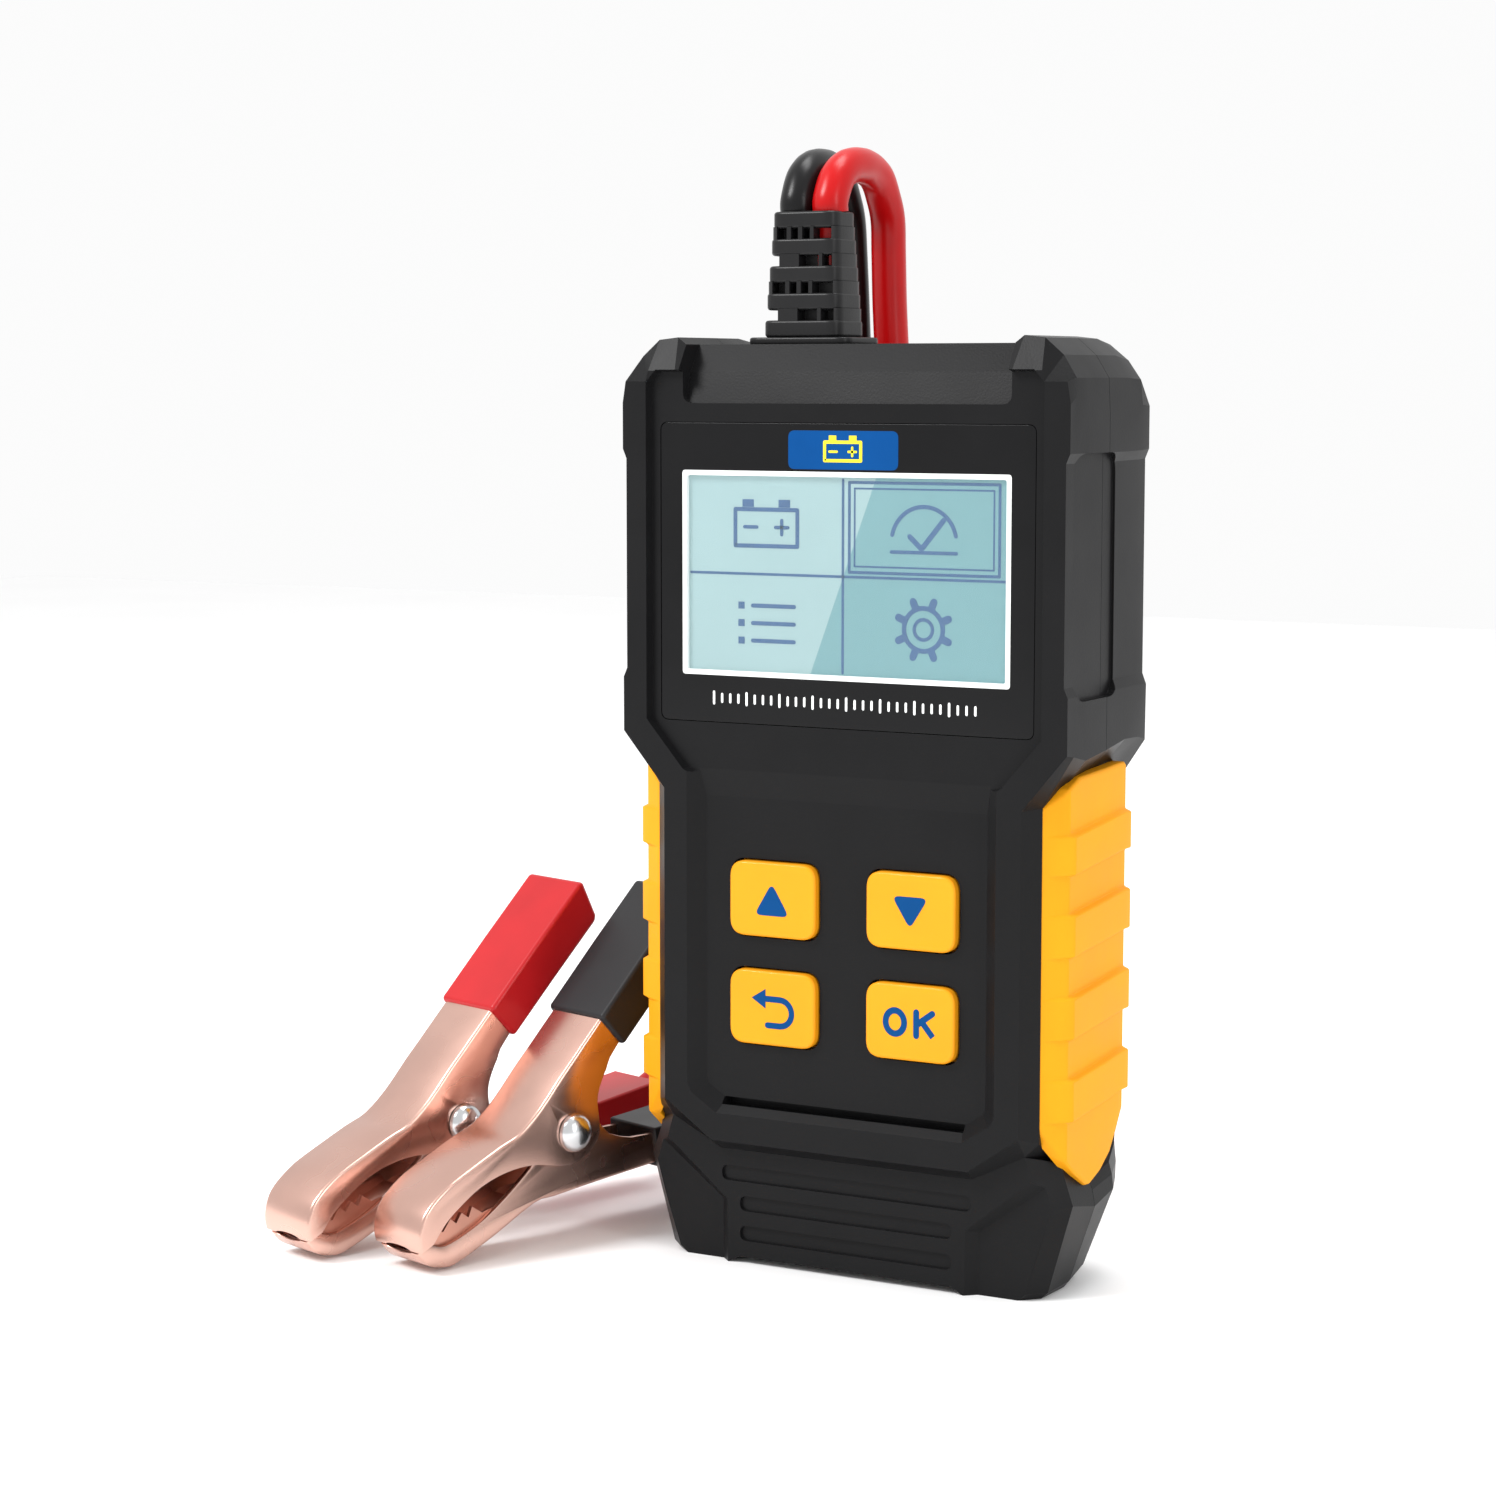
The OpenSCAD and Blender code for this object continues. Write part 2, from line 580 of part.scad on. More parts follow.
// Torsion spring: five turns on the rivet and a leg along each handle
module spring() {
    color("#9a9ea3") {
        for (i = [0:4]) translate([0, -2.6 + 1.3 * i, 0]) rotate([90, 0, 0])
            rotate_extrude() translate([3.1, 0]) circle(r = 0.6, $fn = 16);
        translate([0, 2.6, -3.1]) rotate([0, 70, 0]) cylinder(r = 0.6, h = 1, $fn = 16);
        translate([2, 2.6, -2.6]) rotate([0, 110.8, 0]) cylinder(r = 0.6, h = 17, $fn = 16);
        translate([2, -2.6, 2.6]) rotate([0, 76, 0]) cylinder(r = 0.6, h = 12, $fn = 16);
    }
}
// Soft sleeve over the end of a handle
module boot(outline, inner, half) {
    difference() {
        slab(outline, -half - 0.5, half + 0.5);
        slab(inner, -half, half);
    }
}
upper_handle = [[14, 14.795], [handle_end, 24], [handle_end, 17.4], [16.2, 8.8]];
lower_handle = [[13.1, -16.6], [handle_end, -27.2], [handle_end, -20.6], [15.6, -11.4]];
module upper_boot(tint) {
    color(tint) boot([[14, 15.4], [42.2, 25], [42.2, 17], [16.6, 8.1]], upper_handle, cheek);
}
module lower_boot(tint) {
    color(tint) boot([[14.4, -17.8], [42.2, -28.3], [42.2, -20.2], [16.4, -10.9]],
        lower_handle, inner_cheek);
}
module red_lower_jaw() { set_down(red_rivet_at) lower_jaw(); }
module red_lower_teeth() { set_down(red_rivet_at) lower_teeth(); }
module red_lower_boot() { set_down(red_rivet_at) lower_boot("#c81e1e"); }
module red_rivet() { set_down(red_rivet_at) rivet(); }
module red_spring() { set_down(red_rivet_at) spring(); }
module red_upper_jaw() { set_down(red_rivet_at) upper_jaw(); }
module red_upper_teeth() { set_down(red_rivet_at) upper_teeth(); }
module red_upper_boot() { set_down(red_rivet_at) upper_boot("#c81e1e"); }
module black_lower_jaw() { set_down(black_rivet_at) lower_jaw(); }
module black_lower_teeth() { set_down(black_rivet_at) lower_teeth(); }
module black_lower_boot() { set_down(black_rivet_at) lower_boot("#202020"); }
module black_rivet() { set_down(black_rivet_at) rivet(); }
module black_spring() { set_down(black_rivet_at) spring(); }
module black_upper_jaw() { set_down(black_rivet_at) upper_jaw(); }
module black_upper_teeth() { set_down(black_rivet_at) upper_teeth(); }
module black_upper_boot() { set_down(black_rivet_at) upper_boot("#202020"); }

front_shell();
rear_shell();
left_grip();
right_grip();
window_lens();
lcd_glass();
lcd_frame();
backlight_panel();
lcd_ribbon();
main_board();
key_mat();
key_switches();
microcontroller();
signal_chips();
load_resistors();
load_transistors();
heat_sink();
capacitors();
buzzer();
board_screws();
shell_screws();
lead_terminals();
inner_wires();
cord_anchor();
strain_relief();
key_up();
key_down();
key_back();
key_ok();
red_lead();
red_coil();
red_tail();
black_lead();
black_coil();
black_tail();
red_lower_jaw();
red_lower_teeth();
red_lower_boot();
red_rivet();
red_spring();
red_upper_jaw();
red_upper_teeth();
red_upper_boot();
black_lower_jaw();
black_lower_teeth();
black_lower_boot();
black_rivet();
black_spring();
black_upper_jaw();
black_upper_teeth();
black_upper_boot();
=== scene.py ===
"""A handheld battery tester with two clamp leads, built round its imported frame.

Lengths are in millimetres in the row frame: x to the right, y towards the back, z up from the
surface under the feet. piece() and tube() turn them into metres. `d` is a depth behind the front
plane of the case. The camera and the lights are placed in metres.
"""
import math

import bmesh
import bpy
from mathutils import Matrix, Vector


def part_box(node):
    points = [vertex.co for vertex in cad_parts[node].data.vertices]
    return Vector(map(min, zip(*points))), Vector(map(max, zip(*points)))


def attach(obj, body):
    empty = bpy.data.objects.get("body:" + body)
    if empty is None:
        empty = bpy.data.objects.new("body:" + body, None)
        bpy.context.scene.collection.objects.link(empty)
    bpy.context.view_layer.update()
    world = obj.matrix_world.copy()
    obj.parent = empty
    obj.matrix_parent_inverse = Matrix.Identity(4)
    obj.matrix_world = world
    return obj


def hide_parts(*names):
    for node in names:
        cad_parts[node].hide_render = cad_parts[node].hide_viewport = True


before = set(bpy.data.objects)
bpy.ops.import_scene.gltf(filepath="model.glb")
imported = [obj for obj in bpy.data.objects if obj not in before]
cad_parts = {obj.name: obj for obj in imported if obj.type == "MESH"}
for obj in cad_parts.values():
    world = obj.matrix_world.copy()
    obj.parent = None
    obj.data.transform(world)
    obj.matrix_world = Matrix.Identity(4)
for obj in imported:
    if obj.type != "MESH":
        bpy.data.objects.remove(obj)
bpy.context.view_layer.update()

MM = 0.001
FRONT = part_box("front_shell")[0].y / MM


# ---------------------------------------------------------------- camera

def make_camera():
    """The camera that a fit to the outline of the case gave, in metres."""
    data = bpy.data.cameras.new("view")
    data.sensor_width = 36
    data.lens = 79.93
    data.clip_start = 0.01
    camera = bpy.data.objects.new("view", data)
    camera.location = (0.2571, -0.5106, 0.1540)
    camera.rotation_euler = (math.radians(83.65), 0, math.radians(29.09))
    bpy.context.scene.collection.objects.link(camera)
    bpy.context.scene.camera = camera


# ---------------------------------------------------------------- materials

def linear(r, g, b):
    """Scene colour of an sRGB colour from 0 to 255."""
    return tuple((c / 255 / 12.92) if c < 11 else ((c / 255 + 0.055) / 1.055) ** 2.4
                 for c in (r, g, b)) + (1,)


GRAIN_DEPTH = 0.05 * MM


def look(name, tint, rough, vary=0.08, patch=90, grain=0.0, grain_size=0.4, metal=0.0, coat=0.0,
         specular=0.25, stretch=(1, 1, 1), glow=0.0, rough_spread=0.08):
    """A procedural finish: a tint that drifts over patches, and a fine grain in the bump.

    tint is an sRGB colour from 0 to 255, patch is how many patches there are to a metre, and
    grain_size is in millimetres.
    """
    material = bpy.data.materials.new(name)
    material.use_nodes = True
    nodes, links = material.node_tree.nodes, material.node_tree.links
    shader = nodes["Principled BSDF"]
    place = nodes.new("ShaderNodeTexCoord")
    squeeze = nodes.new("ShaderNodeMapping")
    squeeze.inputs["Scale"].default_value = stretch
    links.new(place.outputs["Object"], squeeze.inputs["Vector"])

    patches = nodes.new("ShaderNodeTexNoise")
    patches.inputs["Scale"].default_value = patch
    patches.inputs["Detail"].default_value = 3
    links.new(squeeze.outputs["Vector"], patches.inputs["Vector"])
    ramp = nodes.new("ShaderNodeValToRGB")
    base = linear(*tint)
    ramp.color_ramp.elements[0].position = 0.3
    ramp.color_ramp.elements[0].color = tuple(c * (1 - vary) for c in base[:3]) + (1,)
    ramp.color_ramp.elements[1].position = 0.7
    ramp.color_ramp.elements[1].color = tuple(min(1, c * (1 + vary)) for c in base[:3]) + (1,)
    links.new(patches.outputs["Fac"], ramp.inputs["Fac"])
    links.new(ramp.outputs["Color"], shader.inputs["Base Color"])

    gloss = nodes.new("ShaderNodeMapRange")
    gloss.inputs["To Min"].default_value = max(0.02, rough - rough_spread)
    gloss.inputs["To Max"].default_value = min(1, rough + rough_spread)
    links.new(patches.outputs["Fac"], gloss.inputs["Value"])
    links.new(gloss.outputs["Result"], shader.inputs["Roughness"])

    if grain:
        fine = nodes.new("ShaderNodeTexNoise")
        fine.inputs["Scale"].default_value = 1 / (grain_size * MM)
        fine.inputs["Detail"].default_value = 2
        links.new(squeeze.outputs["Vector"], fine.inputs["Vector"])
        bump = nodes.new("ShaderNodeBump")
        bump.inputs["Strength"].default_value = grain
        bump.inputs["Distance"].default_value = GRAIN_DEPTH
        links.new(fine.outputs["Fac"], bump.inputs["Height"])
        links.new(bump.outputs["Normal"], shader.inputs["Normal"])
    if glow:
        links.new(ramp.outputs["Color"], shader.inputs["Emission Color"])
        shader.inputs["Emission Strength"].default_value = glow
    shader.inputs["Metallic"].default_value = metal
    shader.inputs["Coat Weight"].default_value = coat
    shader.inputs["Specular IOR Level"].default_value = specular
    return material


def make_looks():
    return {
        "case": look("moulded_case", (21, 21, 22), 0.38, grain=0.3, grain_size=0.35, specular=0.12),
        "grip": look("grip_rubber", (232, 154, 16), 0.5, vary=0.04, grain=0.3, specular=0.15),
        "lens": look("printed_lens", (20, 20, 21), 0.16, vary=0.05, grain=0.04, specular=0.15),
        "lcd": look("display_film", (98, 139, 144), 0.3, vary=0.03, patch=25, glow=0.08),
        # display_glare: a paler tint of the display film, painted glare that stands in for light
        # reflected across the display
        "lcd_glare": look("display_glare", (140, 165, 167), 0.3, vary=0.03, patch=25, glow=0.08),
        "ink": look("display_ink", (34, 70, 118), 0.5, vary=0.05),
        "white": look("white_print", (240, 242, 241), 0.4, vary=0.02),
        "badge": look("blue_print", (0, 69, 132), 0.4, vary=0.05, specular=0.1),
        "mark": look("yellow_print", (232, 216, 50), 0.35, vary=0.05),
        "legend": look("blue_legend", (0, 67, 124), 0.5, vary=0.06, specular=0.1),
        "key": look("key_silicone", (238, 154, 20), 0.42, vary=0.03, grain=0.12, specular=0.15,
                    coat=0.1),
        "relief": look("relief_rubber", (22, 22, 23), 0.36, grain=0.25),
        "red_lead": look("red_silicone", (176, 5, 8), 0.3, vary=0.08, grain=0.1),
        "black_lead": look("black_silicone", (18, 18, 19), 0.3, vary=0.1, grain=0.1, specular=0.2),
        "copper": look("copper_plate", (214, 174, 160), 0.27, vary=0.07, patch=60, grain=0.12,
                       grain_size=0.25, metal=1.0, rough_spread=0.06),
        "dark_copper": look("stamped_copper", (206, 150, 132), 0.36, vary=0.14, grain=0.2,
                            metal=1.0),
        "steel": look("rivet_steel", (205, 206, 208), 0.2, vary=0.05, grain=0.08, metal=1.0),
        "spring": look("spring_wire", (150, 152, 155), 0.28, vary=0.08, grain=0.1, metal=1.0),
        "red_boot": look("red_vinyl", (174, 21, 27), 0.38, vary=0.07, grain=0.15, coat=0.12),
        "black_boot": look("black_vinyl", (30, 30, 32), 0.42, vary=0.1, grain=0.18, coat=0.08),
        "board": look("green_board", (28, 96, 52), 0.35, vary=0.2, patch=400, grain=0.2),
        "chip": look("chip_epoxy", (34, 35, 38), 0.5, grain=0.3, grain_size=0.15),
        "ceramic": look("ceramic_body", (228, 224, 212), 0.7, grain=0.4),
        "aluminium": look("bare_aluminium", (196, 198, 200), 0.3, metal=1.0, grain=0.25,
                          stretch=(1, 1, 8)),
        "blue_sleeve": look("capacitor_sleeve", (42, 84, 140), 0.25, vary=0.05, grain=0.05),
        "brass": look("brass_tag", (200, 164, 80), 0.3, metal=1.0, grain=0.1),
        "ribbon": look("ribbon_film", (200, 138, 60), 0.3, vary=0.12, patch=300, grain=0.1),
        "mat": look("grey_silicone", (146, 146, 146), 0.5, grain=0.2),
        "diffuser": look("white_diffuser", (240, 242, 236), 0.5, vary=0.02, grain=0.1),
        "tray": look("white_plastic", (214, 214, 210), 0.45, vary=0.04, grain=0.2),
        "wire": look("wire_sleeve", (176, 22, 22), 0.4, vary=0.08, grain=0.1),
        "clear": clear_look(),
    }


def clear_look():
    """Clear window: see-through, with a faint gloss."""
    material = look("clear_window", (200, 225, 228), 0.08, vary=0.02, rough_spread=0.02)
    material.node_tree.nodes["Principled BSDF"].inputs["Alpha"].default_value = 0.06
    return material


# ---------------------------------------------------------------- mesh helpers

def skin(*rings):
    """A closed skin through rings that have the same number of points."""
    bm = bmesh.new()
    loops = [[bm.verts.new(p) for p in ring] for ring in rings]
    for near, far in zip(loops, loops[1:]):
        for i in range(len(near)):
            j = (i + 1) % len(near)
            bm.faces.new((near[i], near[j], far[j], far[i]))
    bm.faces.new(loops[0][::-1])
    bm.faces.new(loops[-1])
    bmesh.ops.recalc_face_normals(bm, faces=bm.faces)
    return bm


def front_prism(outline, d0, d1):
    """A prism of an x-z outline between two depths."""
    return skin(*[[(x, FRONT + d, z) for x, z in outline] for d in (d0, d1)])


def side_prism(outline, x0, x1):
    """A prism of a depth-z outline between two values of x."""
    return skin(*[[(x, FRONT + d, z) for d, z in outline] for x in (x0, x1)])


def mirrored(half):
    """A whole outline from its right half, which runs from the top middle to the bottom middle."""
    return half + [(-p[0], *p[1:]) for p in reversed(half) if p[0] > 1e-6]


def rounded(outline, radius, steps=5):
    """An outline with an arc in place of each corner; radius may be a list, one to a corner."""
    points = []
    count = len(outline)
    for i, corner in enumerate(outline):
        r = radius[i] if isinstance(radius, (list, tuple)) else radius
        c = Vector(corner)
        a = Vector(outline[i - 1]) - c
        b = Vector(outline[(i + 1) % count]) - c
        if r <= 0:
            points.append(tuple(c))
            continue
        half = a.angle(b) / 2
        reach = min(r / math.tan(half), a.length * 0.49, b.length * 0.49)
        start, end = c + a.normalized() * reach, c + b.normalized() * reach
        for k in range(steps + 1):
            t = k / steps
            points.append(tuple(start * (1 - t) ** 2 + c * 2 * t * (1 - t) + end * t ** 2))
    return points


def circle(radius, sides, x=0.0, z=0.0, squash=1.0):
    """A round outline about a point; squash is its height over its width."""
    return [(x + radius * math.cos(2 * math.pi * i / sides),
             z + squash * radius * math.sin(2 * math.pi * i / sides)) for i in range(sides)]


def box_outline(x0, z0, x1, z1):
    return [(x0, z0), (x1, z0), (x1, z1), (x0, z1)]


def joined(*parts):
    """One bmesh that holds the closed skins of several."""
    whole = bmesh.new()
    for part in parts:
        mesh = bpy.data.meshes.new("part")
        part.to_mesh(mesh)
        whole.from_mesh(mesh)
        bpy.data.meshes.remove(mesh)
        part.free()
    return whole


def placed(bm, matrix):
    """bm with its points moved by a matrix."""
    bmesh.ops.transform(bm, matrix=matrix, verts=bm.verts)
    return bm


def from_bmesh(name, bm):
    """A linked object made of a bmesh, which is used up."""
    mesh = bpy.data.meshes.new(name)
    bm.to_mesh(mesh)
    bm.free()
    obj = bpy.data.objects.new(name, mesh)
    bpy.context.scene.collection.objects.link(obj)
    return obj


def applied(obj):
    """obj with its modifiers made part of its mesh."""
    shown = obj.evaluated_get(bpy.context.evaluated_depsgraph_get())
    mesh = bpy.data.meshes.new_from_object(shown)
    obj.modifiers.clear()
    old = obj.data
    obj.data = mesh
    bpy.data.meshes.remove(old)
    return obj


def boolean(bm, other, operation="DIFFERENCE"):
    """The bmesh that is left when other is cut from bm, or joined or intersected with it."""
    obj, tool = from_bmesh("body", bm), from_bmesh("tool", other)
    step = obj.modifiers.new("cut", "BOOLEAN")
    step.object, step.operation, step.solver = tool, operation, "EXACT"
    applied(obj)
    result = bmesh.new()
    result.from_mesh(obj.data)
    bpy.data.objects.remove(tool)
    bpy.data.objects.remove(obj)
    return result


def dissolve_flat(bm):
    """Joins faces that lie in one plane, and drops the points that a cut left on edges."""
    bmesh.ops.remove_doubles(bm, verts=bm.verts, dist=0.004)
    bmesh.ops.dissolve_limit(bm, angle_limit=math.radians(0.6), verts=bm.verts, edges=bm.edges)
    return bm


def piece(name, bm, finish, body="root", stands_for=(), slot=None, bevel=0.0, segments=2, sharp=32,
          crisp=True, crease=38):
    """Turns a bmesh in millimetres into a piece that rides on a body.

    Edges that turn by more than `sharp` degrees are bevelled. A crisp piece keeps its flat faces
    flat in shading; another is shaded smooth up to edges that turn by more than `crease` degrees.
    """
    placed(bm, Matrix.Scale(MM, 4))
    obj = from_bmesh(name, bm)
    obj.data.shade_smooth()
    if bevel:
        edge = obj.modifiers.new("edges", "BEVEL")
        edge.width, edge.segments = bevel * MM, segments
        edge.limit_method, edge.angle_limit = "ANGLE", math.radians(sharp)
        edge.use_clamp_overlap = True
        if crisp:
            flat = obj.modifiers.new("normals", "WEIGHTED_NORMAL")
            flat.weight, flat.keep_sharp = 80, False
        applied(obj)
    if not (bevel and crisp):
        obj.data.set_sharp_from_angle(angle=math.radians(crease))
    obj.data.materials.append(LOOKS[finish])
    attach(obj, body)
    if stands_for:
        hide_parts(*stands_for)
    return obj


def tube(name, points, radius, finish, body="root", cyclic=False, resolution=4):
    """A round wire or stroke through points in millimetres."""
    data = bpy.data.curves.new(name, "CURVE")
    data.dimensions = "3D"
    data.bevel_depth = radius * MM
    data.bevel_resolution = resolution
    data.use_fill_caps = True
    spline = data.splines.new("POLY")
    spline.points.add(len(points) - 1)
    for point, p in zip(spline.points, points):
        point.co = (p[0] * MM, p[1] * MM, p[2] * MM, 1)
    spline.use_cyclic_u = cyclic
    spline.use_smooth = True
    obj = bpy.data.objects.new(name, data)
    bpy.context.scene.collection.objects.link(obj)
    data.materials.append(LOOKS[finish])
    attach(obj, body)
    return obj


def smooth_path(points, steps=6):
    """Points along a curve that passes through each of the given ones (Catmull-Rom)."""
    p = [Vector(q) for q in points]
    p = [p[0] * 2 - p[1]] + p + [p[-1] * 2 - p[-2]]
    line = []
    for i in range(1, len(p) - 2):
        for k in range(steps):
            t = k / steps
            a, b, c, e = p[i - 1], p[i], p[i + 1], p[i + 2]
            line.append(0.5 * (2 * b + (c - a) * t + (2 * a - 5 * b + 4 * c - e) * t ** 2
                               + (3 * b - a - 3 * c + e) * t ** 3))
    return line + [p[-2]]


# ---------------------------------------------------------------- leads

LEAD_D = 6.2
LEAD_X = {"red": -10.5, "black": -16.8}
EXIT_Y, EXIT_Z = -0.5, 182.4
COIL = Vector((-41, 85, 0))
LOW, HIGH = LEAD_D / 2, LEAD_D * 1.5    # heights of the two layers of a coil
RING_R = {"red": 37.2, "black": 31.0}

RED_ROUTE = [
    (-10.5, -0.5, 182.4), (-10.5, -0.5, 184.4), (-10.5, 1.7, 188), (-10.5, 5.2, 190.1),
    (-10.5, 9.5, 190.8), (-10.8, 14, 190.5), (-11, 18, 189), (-11.3, 21, 186), (-11.5, 23.3, 182),
    (-11.8, 24.3, 176), (-11.8, 25, 165), (-11, 25.5, 150), (-9, 26, 130), (-7, 26, 110),
    (-5, 26, 90), (-4, 26, 70), (-3.8, 26, 50), (-3.8, 26.5, 36), (-3.8, 28.5, 24),
    (-3.8, 33, 13), (-3.8, 40, 6), (-3.8, 50, 3.3), (-3.8, 60, 3.1), (-3.8, 72, 3.1),
    (-3.8, 80, 3.1),
]
RED_TAIL = [
    (-77.5, 78.5, 9.3), (-74.5, 67, 9.5), (-69.8, 56, 12), (-65.5, 47, 16), (-63.6, 40.5, 18.8),
    (-63.4, 35.5, 19.9), (-64.1, 31.4, 19.3), (-65.5, 27.1, 17.1),
]
BLACK_ROUTE = [
    (-16.8, -0.5, 182.4), (-16.8, -0.5, 184.4), (-17, 1.7, 188), (-17.3, 5.2, 190.1),
    (-17.7, 9.5, 190.8), (-18.2, 14, 190.5), (-18.8, 18, 189), (-19.2, 21, 186), (-19.4, 23.3, 182),
    (-19.5, 24.3, 176), (-19.3, 25, 165), (-19, 25.5, 150), (-19, 26, 130), (-19.5, 26, 110),
    (-20, 26, 90), (-20.5, 26, 70), (-21, 26.5, 50), (-21.5, 29, 38), (-22, 35, 27),
    (-22.3, 44, 19.5), (-22.3, 54, 17), (-22, 63, 15.6), (-21.4, 71, 11), (-20.8, 79, 5.5),
    (-20.5, 87, 3.4), (-22.5, 96, 3.1), (-28, 103.5, 3.1), (-34.5, 107.5, 3.1),
]
BLACK_TAIL = [
    (-71.5, 79, 10.5), (-69, 72, 12.8), (-64, 61.5, 16.3), (-57, 52, 18), (-50.5, 46.2, 19.6),
    (-45.4, 41.4, 20.7), (-42.9, 37.4, 20.5), (-42.5, 34.2, 19.3), (-43.9, 29.9, 17.1),
]


def turns(radius, start, end):
    """Points along a coil: a floor layer, a climb, then a layer on top of it. Angles in degrees."""
    climb, per_turn = 50, 36
    middle = start + 360
    count = round((end - start) / 360 * per_turn)
    points = []
    for i in range(1, count + 1):
        angle = start + (end - start) * i / count
        rise = min(1, max(0, (angle - middle + climb / 2) / climb))
        height = LOW + (HIGH - LOW) * rise * rise * (3 - 2 * rise)
        a = math.radians(angle)
        points.append(COIL + Vector((radius * math.cos(a), radius * math.sin(a), height)))
    return points


def make_lead(colour, route, tail, start, end):
    """One lead: from its relief over the back, round its coil and along to its clamp."""
    middle = turns(RING_R[colour], start, end)
    line = smooth_path(route + [tuple(p) for p in middle] + tail)
    obj = tube(f"{colour}_lead_cord", line, LEAD_D / 2, f"{colour}_lead", resolution=8)
    length = sum((b - a).length for a, b in zip(line, line[1:])) * MM
    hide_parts(f"{colour}_lead", f"{colour}_coil", f"{colour}_tail")


# ---------------------------------------------------------------- case

# Half outlines of the case at rising depths, from the top middle down the right side to the
# bottom middle. The columns are: top middle, side of the notch, four points of the bumper, the two
# ends of the upper bulge, the two ends of the flat side, top of the lower bulge, shoulder, two
# points at the top of the waist, two at its foot, foot edge, widest foot, lower corner, two ends
# of the foot's sole, notch beside it, bottom middle.
RINGS = {
    0: [(0, 155.3), (30.9, 155.3), (31.6, 155.3), (36.9, 155.3), (37.3, 153.5), (41.4, 153.5),
        (42, 149.8), (42, 141.9), (41.3, 140.3), (41.3, 104), (42, 102.4), (42, 93),
        (33.9, 83.4), (33.9, 82.9), (33.9, 28.6), (33.8, 28.2), (33.7, 22.3), (33.8, 15.8),
        (29, 1.2), (27.6, 0), (22.6, 0), (20.3, 1.2), (0, 1.2)],
    2.8: [(0, 159.8), (30.9, 159.8), (32.5, 161), (36.2, 160.6), (39.5, 157.8), (41.8, 154.1),
          (42, 151.2), (42, 141.9), (41.3, 140.3), (41.3, 104), (42, 102.4), (42, 92.6),
          (36.5, 83.8), (36.5, 83.3), (36.5, 27.7), (33.8, 25.1), (35, 20.8), (36.5, 15.8),
          (31.6, 1.2), (30, 0), (22.6, 0), (20.3, 1.2), (0, 1.2)],
    7.4: [(0, 159.8), (30.9, 159.8), (32.5, 161), (36.2, 160.6), (39.5, 157.8), (41.8, 154.1),
          (42.1, 150), (42.1, 141.9), (41.3, 140.3), (41.3, 104), (42.1, 102.4), (42.1, 91.6),
          (38.3, 86.8), (36.1, 86.3), (36.1, 24.4), (38.6, 23.7), (39, 21.6), (40.7, 16.6),
          (36.3, 1.2), (35, 0), (22.6, 0), (20.3, 1.2), (0, 1.2)],
    16: [(0, 159.8), (30.9, 159.8), (32.5, 161), (36.2, 160.6), (39.5, 157.8), (41.8, 154.1),
         (42.1, 148.2), (42.1, 141.9), (41.3, 140.3), (41.3, 104), (42.1, 102.4), (42.1, 92.5),
         (38.4, 88.6), (37.3, 88.1), (37.3, 19.8), (39.9, 19.1), (40.5, 17.6), (41, 14.8),
         (36.4, 1.2), (35.4, 0), (22.6, 0), (20.3, 1.2), (0, 1.2)],
    24: [(0, 159.8), (30.9, 159.8), (32.5, 161), (36.2, 160.6), (39.5, 157.8), (41.8, 154.1),
         (42.1, 147), (42.1, 141.9), (41.3, 140.3), (41.3, 104), (42.1, 102.4), (42.1, 93.6),
         (38.6, 89.5), (38.1, 89), (38.1, 21.6), (40.1, 20.7), (40.7, 18.6), (41, 16.2),
         (35.6, 2.2), (34.4, 0.8), (22.6, 0.4), (20.3, 1.3), (0, 1.3)],
    30: [(0, 159.2), (30.9, 159.2), (32.4, 160.2), (36, 159.7), (39.4, 157), (41.7, 153.8),
         (42.1, 149.6), (42.1, 142), (41.3, 140.4), (41.3, 104), (42.1, 102.4), (42.1, 93.4),
         (38.8, 88.8), (38.6, 88.3), (38.6, 24.6), (38.5, 22.5), (38.9, 19.5), (38.8, 16.5),
         (34, 7.4), (32.8, 5.8), (22.6, 5.3), (20.3, 5.5), (0, 5.5)],
    33.5: [(0, 156.6), (30, 156.6), (31.4, 157), (34.8, 156.4), (38.2, 154.4), (40.6, 152.4),
           (41.9, 149.4), (41.9, 142.2), (41.2, 140.5), (41.2, 104), (41.9, 102.2), (41.8, 92.6),
           (38.2, 87.2), (37.8, 86.8), (37.2, 26.4), (36.8, 24.6), (36.4, 22.4), (35.8, 20),
           (33, 14.6), (32, 13.6), (22.6, 13.2), (20.3, 13.3), (0, 13.3)],
    35: [(0, 153.9), (29, 153.9), (30.4, 153.8), (32.6, 153.2), (35.2, 152), (37.8, 150.4),
         (39.8, 148.4), (39.9, 142.2), (39.5, 140.5), (39.5, 104), (39.9, 102.2), (39.4, 93.6),
         (35.6, 86.4), (35.2, 85.8), (34.8, 28.6), (34.4, 27), (34, 25.6), (33.4, 24.2),
         (32, 22), (31, 21.4), (22.6, 21), (20.3, 21), (0, 21)],
}
PANEL, KEYPAD, CHIN, PAD = 1.6, 2.4, 2.9, 4.6    # depths of the sunken fields of the front
PANEL_HALF = [(0, 155.1), (35.3, 155.1), (37, 153.2), (37, 95.4), (29.9, 87.2), (28.6, 86.6),
              (0, 86.6)]
LENS = (35.4, 95.1, 146.6)        # half width, bottom and top of the lens
SCREEN = (31.0, 103.4, 138.4)     # the same of the opening behind it
NOTCH_X = 30.9
KEYS = {"key_up": (-13.2, 65.0), "key_down": (13.2, 65.0), "key_back": (-13.2, 46.1),
        "key_ok": (13.2, 46.1)}
KEY_W, KEY_H = 16.7, 13.0
SCREWS = [(-33.5, 148), (33.5, 148), (-27, 34), (27, 34)]
CHIN_SLOTS = [(24.05, 15.9), (20.45, 10.7), (20.45, 5.4)]


